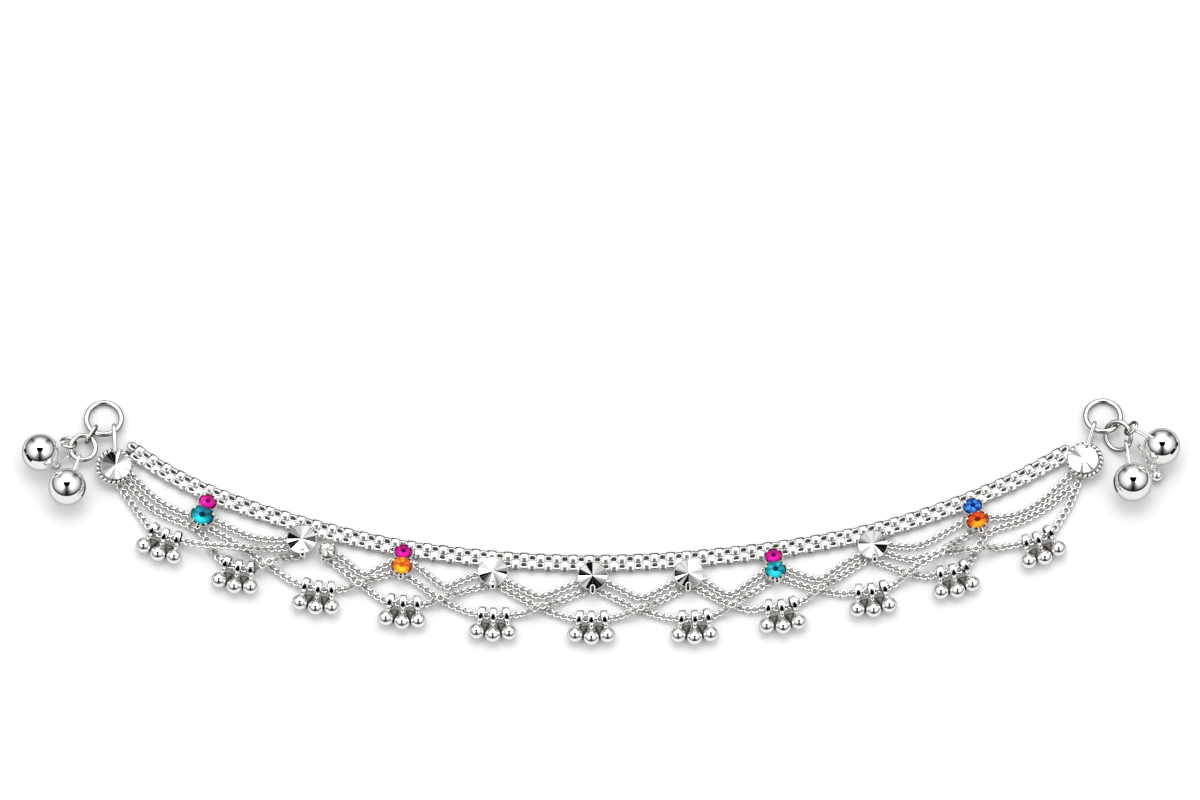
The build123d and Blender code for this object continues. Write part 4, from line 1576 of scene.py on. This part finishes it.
@dataclass
class LeftEnd(AnkletEnd):
    """The left end, with a medium ring on a connector, a jump ring and a small knob."""

    medium: Pair = (-119.1, 16.9)
    connector_grip: float = 233.0
    jump_at: float = 160.0
    jump_twist: float = 40.0
    knob_from: float = 208.0
    knob_at: Triple = (-125.2, 12.9, 1.0)
    knob_radius: float = 0.9
    knob_dark_dot: Triple = (0.2, 0.1, 0.82)
    small_ring: float = 0.85

    def hang(self, shop: Workshop, big: Matrix) -> None:
        """Makes what hangs from the end ring.

        Args:
            shop: what makes the pieces.
            big: the end ring's plane.
        """
        flat = placed((*self.medium, self.lift), RIGHT, UP)
        self.ring_piece(shop, "medium_ring", flat, self.medium_radius, self.medium_wire)
        grip, centre = on_ring(big, END_RING_RADIUS, self.connector_grip), flat.translation
        toward = Vector((grip.x - centre.x, grip.y - centre.y, 0)).normalized()
        link = long_link(grip, centre + toward * self.medium_radius, RING_ROOM, BAIL_WIRE + 0.15)
        shop.piece("left_connector_link", link.shaded_by_facing(0.85, 0.5), RINGS, ["connector_left"])
        outward = bearing(self.jump_at)
        jump = jump_place(centre + outward * self.medium_radius, outward, UP.cross(outward), self.jump_twist)
        self.ring_piece(shop, "jump_ring", jump, JUMP_RADIUS, JUMP_WIRE)
        shop.piece("left_knob", self.knob(centre).shaded_by_facing(0.8, 0.4), RINGS, ["knob_left"])

    def knob(self, centre: Vector) -> Shape:
        """The small ring with a stem and a bead, and a small ball painted black on the bead: a painted dark reflection.

        Args:
            centre: the medium ring's middle.

        Returns:
            The knob.
        """
        outward = bearing(self.knob_from)
        threaded = centre + outward * self.medium_radius
        bead_at = Vector(self.knob_at)
        top = threaded + (bead_at - threaded).normalized() * self.small_ring
        small = wire_loop(circle_path(self.small_ring), 0.16, 14)
        return joined([
            small.moved(placed(threaded, UP, UP.cross(outward) + UP * 0.8)),
            rod(bead_at, top, 0.25),
            ball(bead_at, self.knob_radius, 40),
            ball(bead_at + Vector(self.knob_dark_dot), 0.2, 14).all_painted_dark(PaintedDark.BLACK),
        ])


@dataclass
class RightEnd(AnkletEnd):
    """The right end, with a leaning medium ring, a jump ring and a round drop on a strand."""

    tilt: float = 39.0
    play: float = 0.28
    away: Triple = (0.565, -0.825, 0)
    jump_at: float = 80.0
    jump_twist: float = -50.0
    strand: tuple[Triple, ...] = (
        (123.9, 17.8, 2.3), (124.6, 16.1, 2.1), (125.4, 14.4, 2.0), (127.3, 12.3, 1.8))
    bead_radius: float = 0.9
    drop_at: Triple = (128.2, 10.4, 1.45)
    drop_radius: float = 1.45
    strand_chain: LinkChain = LinkChain(
        Link(1.5, 0.95, 0.3, 1.0, 6, 8), Link(1.4, 0.95, 0.3, 1.0, 6, 8), 1.9, roll=30.0)

    def leaning(self) -> Matrix:
        """The medium ring's plane: it passes through the end ring and leans across it."""
        away = Vector(self.away).normalized()
        reach = END_RING_RADIUS + self.medium_radius - END_RING_WIRE / 2 - MEDIUM_WIRE / 2 - self.play
        lean = math.radians(self.tilt)
        centre = Vector((*self.place, self.lift)) + away * reach
        return placed(centre, away, UP * math.cos(lean) + away.cross(UP) * math.sin(lean))

    def hang(self, shop: Workshop, big: Matrix) -> None:
        """Makes what hangs from the end ring.

        Args:
            shop: what makes the pieces.
            big: the end ring's plane.
        """
        medium = self.leaning()
        self.ring_piece(shop, "medium_ring", medium, self.medium_radius, self.medium_wire)
        held = on_ring(medium, self.medium_radius, self.jump_at)
        outward = (held - medium.translation).normalized()
        normal = (medium.to_3x3() @ UP).normalized()
        jump = jump_place(held, outward, normal.cross(outward), self.jump_twist)
        self.ring_piece(shop, "jump_ring", jump, JUMP_RADIUS, JUMP_WIRE)
        bead_at, drop_at = Vector(self.strand[-1]), Vector(self.drop_at)
        parts = self.strand_chain.along(Route(self.strand), seed=80)
        parts += [ball(bead_at, self.bead_radius, 36), rod(bead_at, drop_at, 0.3)]
        parts.append(ball(drop_at, self.drop_radius, 56))
        shop.piece("right_drop", joined(parts).shaded_by_facing(0.6, 0.1), RINGS, ["drop_right"])


ENDS = (
    LeftEnd("left", -1, (-114.4, 24.0), 1.9, (-111.4, 12.5), 308, ".gg-,..,..,.--.-ggg++###", 2.9, MEDIUM_WIRE + 0.2),
    RightEnd("right", 1, (116.0, 24.5), 2.54, (111.2, 14.0), 233, ".........g..g......-g-..", 3.3, MEDIUM_WIRE + 0.15),
)


# ---- the studio ----
@dataclass
class Studio:
    """The floor, the light and the camera.

    The light is drawn as a ball shows it: across and up from the ball's middle, whose edge is at 1. The fields of
    four numbers are a change from one range to another.
    """

    elevation: float = 75.0
    frame_width: float = 276.0
    aim: Triple = (0.0, 28.8, 0.0)
    distance: float = 2500.0
    sensor: float = 36.0
    floor_half: float = 3.0
    near: float = 9.0
    ring_up: float = 0.20
    ring_reach: float = 0.70
    ring_squeeze: float = 0.885
    lamp: float = 2.2
    lamp_up: float = 0.34
    lamp_edge: Pair = (0.22, 0.22)
    cloth_glow: float = 1.25
    cloth_fade: Change = (0.32, 0.66, 1.0, 0.3)
    table_glow: float = 0.9
    table_fade: Change = (0.84, 1.0, 1.0, 0.42)
    head_top: float = 0.262
    head_width: Change = (0.03, 0.16, 0.105, 0.18)
    stem_width: Change = (-0.05, -0.45, 0.11, 0.32)
    stem_blur: Change = (0.0, -0.42, 0.04, 0.34)
    stem_strength: Change = (-0.12, -0.3, 0.94, 1.0)
    lip_limit: Change = (0.4, 1.2, 0.56, 0.63)
    lip_blur: Change = (0.4, 1.2, 0.12, 0.07)
    lip_strength: Change = (0.3, 1.0, 1.0, 0.88)
    lip_behind: Change = (2.2, 3.0, 1.0, 0.8)
    corner_at: float = 2.36
    corner_edge: Pair = (0.2, 0.32)
    corner_fade: Change = (0.30, 0.56, 0.0, 1.0)

    def build(self, shop: Workshop) -> None:
        """Sets the scene.

        Args:
            shop: what makes the floor.
        """
        self.floor(shop)
        self.tent()
        self.camera()
        settings = bpy.context.scene.view_settings
        settings.view_transform = "Standard"
        settings.look = "None"

    def floor(self, shop: Workshop) -> None:
        """A wide plain floor.

        Args:
            shop: what makes its mesh and finish.
        """
        size, below = self.floor_half / MM, -0.02
        corners = [(size * x, size * y, below) for x, y in ((-1, -1), (1, -1), (1, 1), (-1, 1))]
        mesh = shop.mesh("floor", shape_of(corners, [(0, 1, 2, 3)]))
        mesh.materials.append(shop.dressed(FloorFinish("pale_floor")))
        floor = bpy.data.objects.new("floor", mesh)
        bpy.context.scene.collection.objects.link(floor)
        floor.visible_glossy = False

    def tent(self) -> None:
        """A white light tent: bright at both sides and the back, with a dark slot over its front."""
        world = bpy.data.worlds.new("light_tent")
        bpy.context.scene.world = world
        world.use_nodes = True
        shading = Shading(world.node_tree)
        high, low = math.sin(math.radians(self.elevation)), math.cos(math.radians(self.elevation))
        way = shading.node("ShaderNodeTexCoord", {}, {}, "Generated")
        both = shading.node("ShaderNodeVectorMath", {"operation": "ADD"}, {0: way, 1: (0, -low, high)})
        half = shading.node("ShaderNodeVectorMath", {"operation": "NORMALIZE"}, {0: both})
        across, up = half.dot((1, 0, 0)), half.dot((0, high, low))
        side = abs(across)
        from_middle, squeezed = up - self.ring_up, side * self.ring_squeeze
        reach = (squeezed * squeezed + from_middle * from_middle).power(0.5)
        turn = side.arc_tangent(from_middle * -1)
        dark = self.slot(side, up).lighter(self.lip(reach, turn)).lighter(self.corners(reach, turn))
        inside = reach.under(self.ring_reach, 0.012)
        from_lamp = up - self.lamp_up
        lamp = (side * side + from_lamp * from_lamp).power(0.5).under(*self.lamp_edge)
        lit = (lamp * self.lamp + self.cloth_glow) * reach.fit(*self.cloth_fade) * (1 - dark)
        start, end, bright, dim = self.table_fade
        rim = (side * side + up * up).power(0.5)
        table = rim.fit(start, end, self.table_glow * bright, self.table_glow * dim)
        light = lit * inside + table * (1 - inside)
        shown = shading.node("ShaderNodeLightPath", {}, {}, "Is Camera Ray")
        strength = light * (1 - shown) + shown
        sky = shading.node("ShaderNodeBackground", {}, {"Color": (1, 1, 1, 1), "Strength": strength})
        shading.node("ShaderNodeOutputWorld", {}, {"Surface": sky})

    def slot(self, side: Signal, up: Signal) -> Signal:
        """The dark slot: a head over a stem that blurs and widens towards the tent's lip.

        Args:
            side: how far from the middle.
            up: how far up.

        Returns:
            The mask.
        """
        head = side.under(up.fit(*self.head_width), 0.02) * (1 - up.under(0.0, 0.02))
        width, blur = up.fit(*self.stem_width), up.fit(*self.stem_blur)
        stem = side.under(width, blur) * up.under(0.02, 0.03) * up.fit(*self.stem_strength)
        return head.lighter(stem) * up.under(self.head_top, 0.012)

    def lip(self, reach: Signal, turn: Signal) -> Signal:
        """The tent's lower edge: dark at the front and a thin grey line elsewhere."""
        limit, blur = turn.fit(*self.lip_limit), turn.fit(*self.lip_blur)
        strength = turn.fit(*self.lip_strength) * turn.fit(*self.lip_behind)
        return (1 - reach.under(limit, blur)) * strength

    def corners(self, reach: Signal, turn: Signal) -> Signal:
        """The seams at the tent's back corners."""
        return abs(turn - self.corner_at).under(*self.corner_edge) * reach.fit(*self.corner_fade)

    def camera(self) -> None:
        """A long lens, high above the front of the anklet."""
        angle = math.radians(self.elevation)
        back = Vector((0, -math.cos(angle), math.sin(angle)))
        data = bpy.data.cameras.new("camera")
        data.sensor_width = self.sensor
        data.lens = self.sensor * (self.distance - self.near) / self.frame_width
        data.clip_start, data.clip_end = 0.1, 100.0
        camera = bpy.data.objects.new("camera", data)
        camera.location = (Vector(self.aim) + back * self.distance) * MM
        camera.rotation_euler = back.to_track_quat("Z", "Y").to_euler()
        bpy.context.scene.collection.objects.link(camera)
        bpy.context.scene.camera = camera


def main() -> None:
    """Builds the studio and every piece."""
    logging.basicConfig(level=logging.INFO, format="%(name)s %(message)s")
    shop = Workshop()
    Studio().build(shop)
    Band().build(shop)
    FineChains().build(shop)
    for number in range(len(BUNCHES)):
        BellBunch().build(shop, number)
    for fitting in (*DISCS, *SETTINGS, CLEAR_SETTING, *ENDS):
        fitting.build(shop)
    for node in ("bell_left_lower", "bell_left_outer", "bell_right_lower", "bell_right_outer"):
        shop.redress(node, POLISHED)
    LOG.info("%d triangles in all", shop.triangles)


if __name__ == "__main__":
    main()
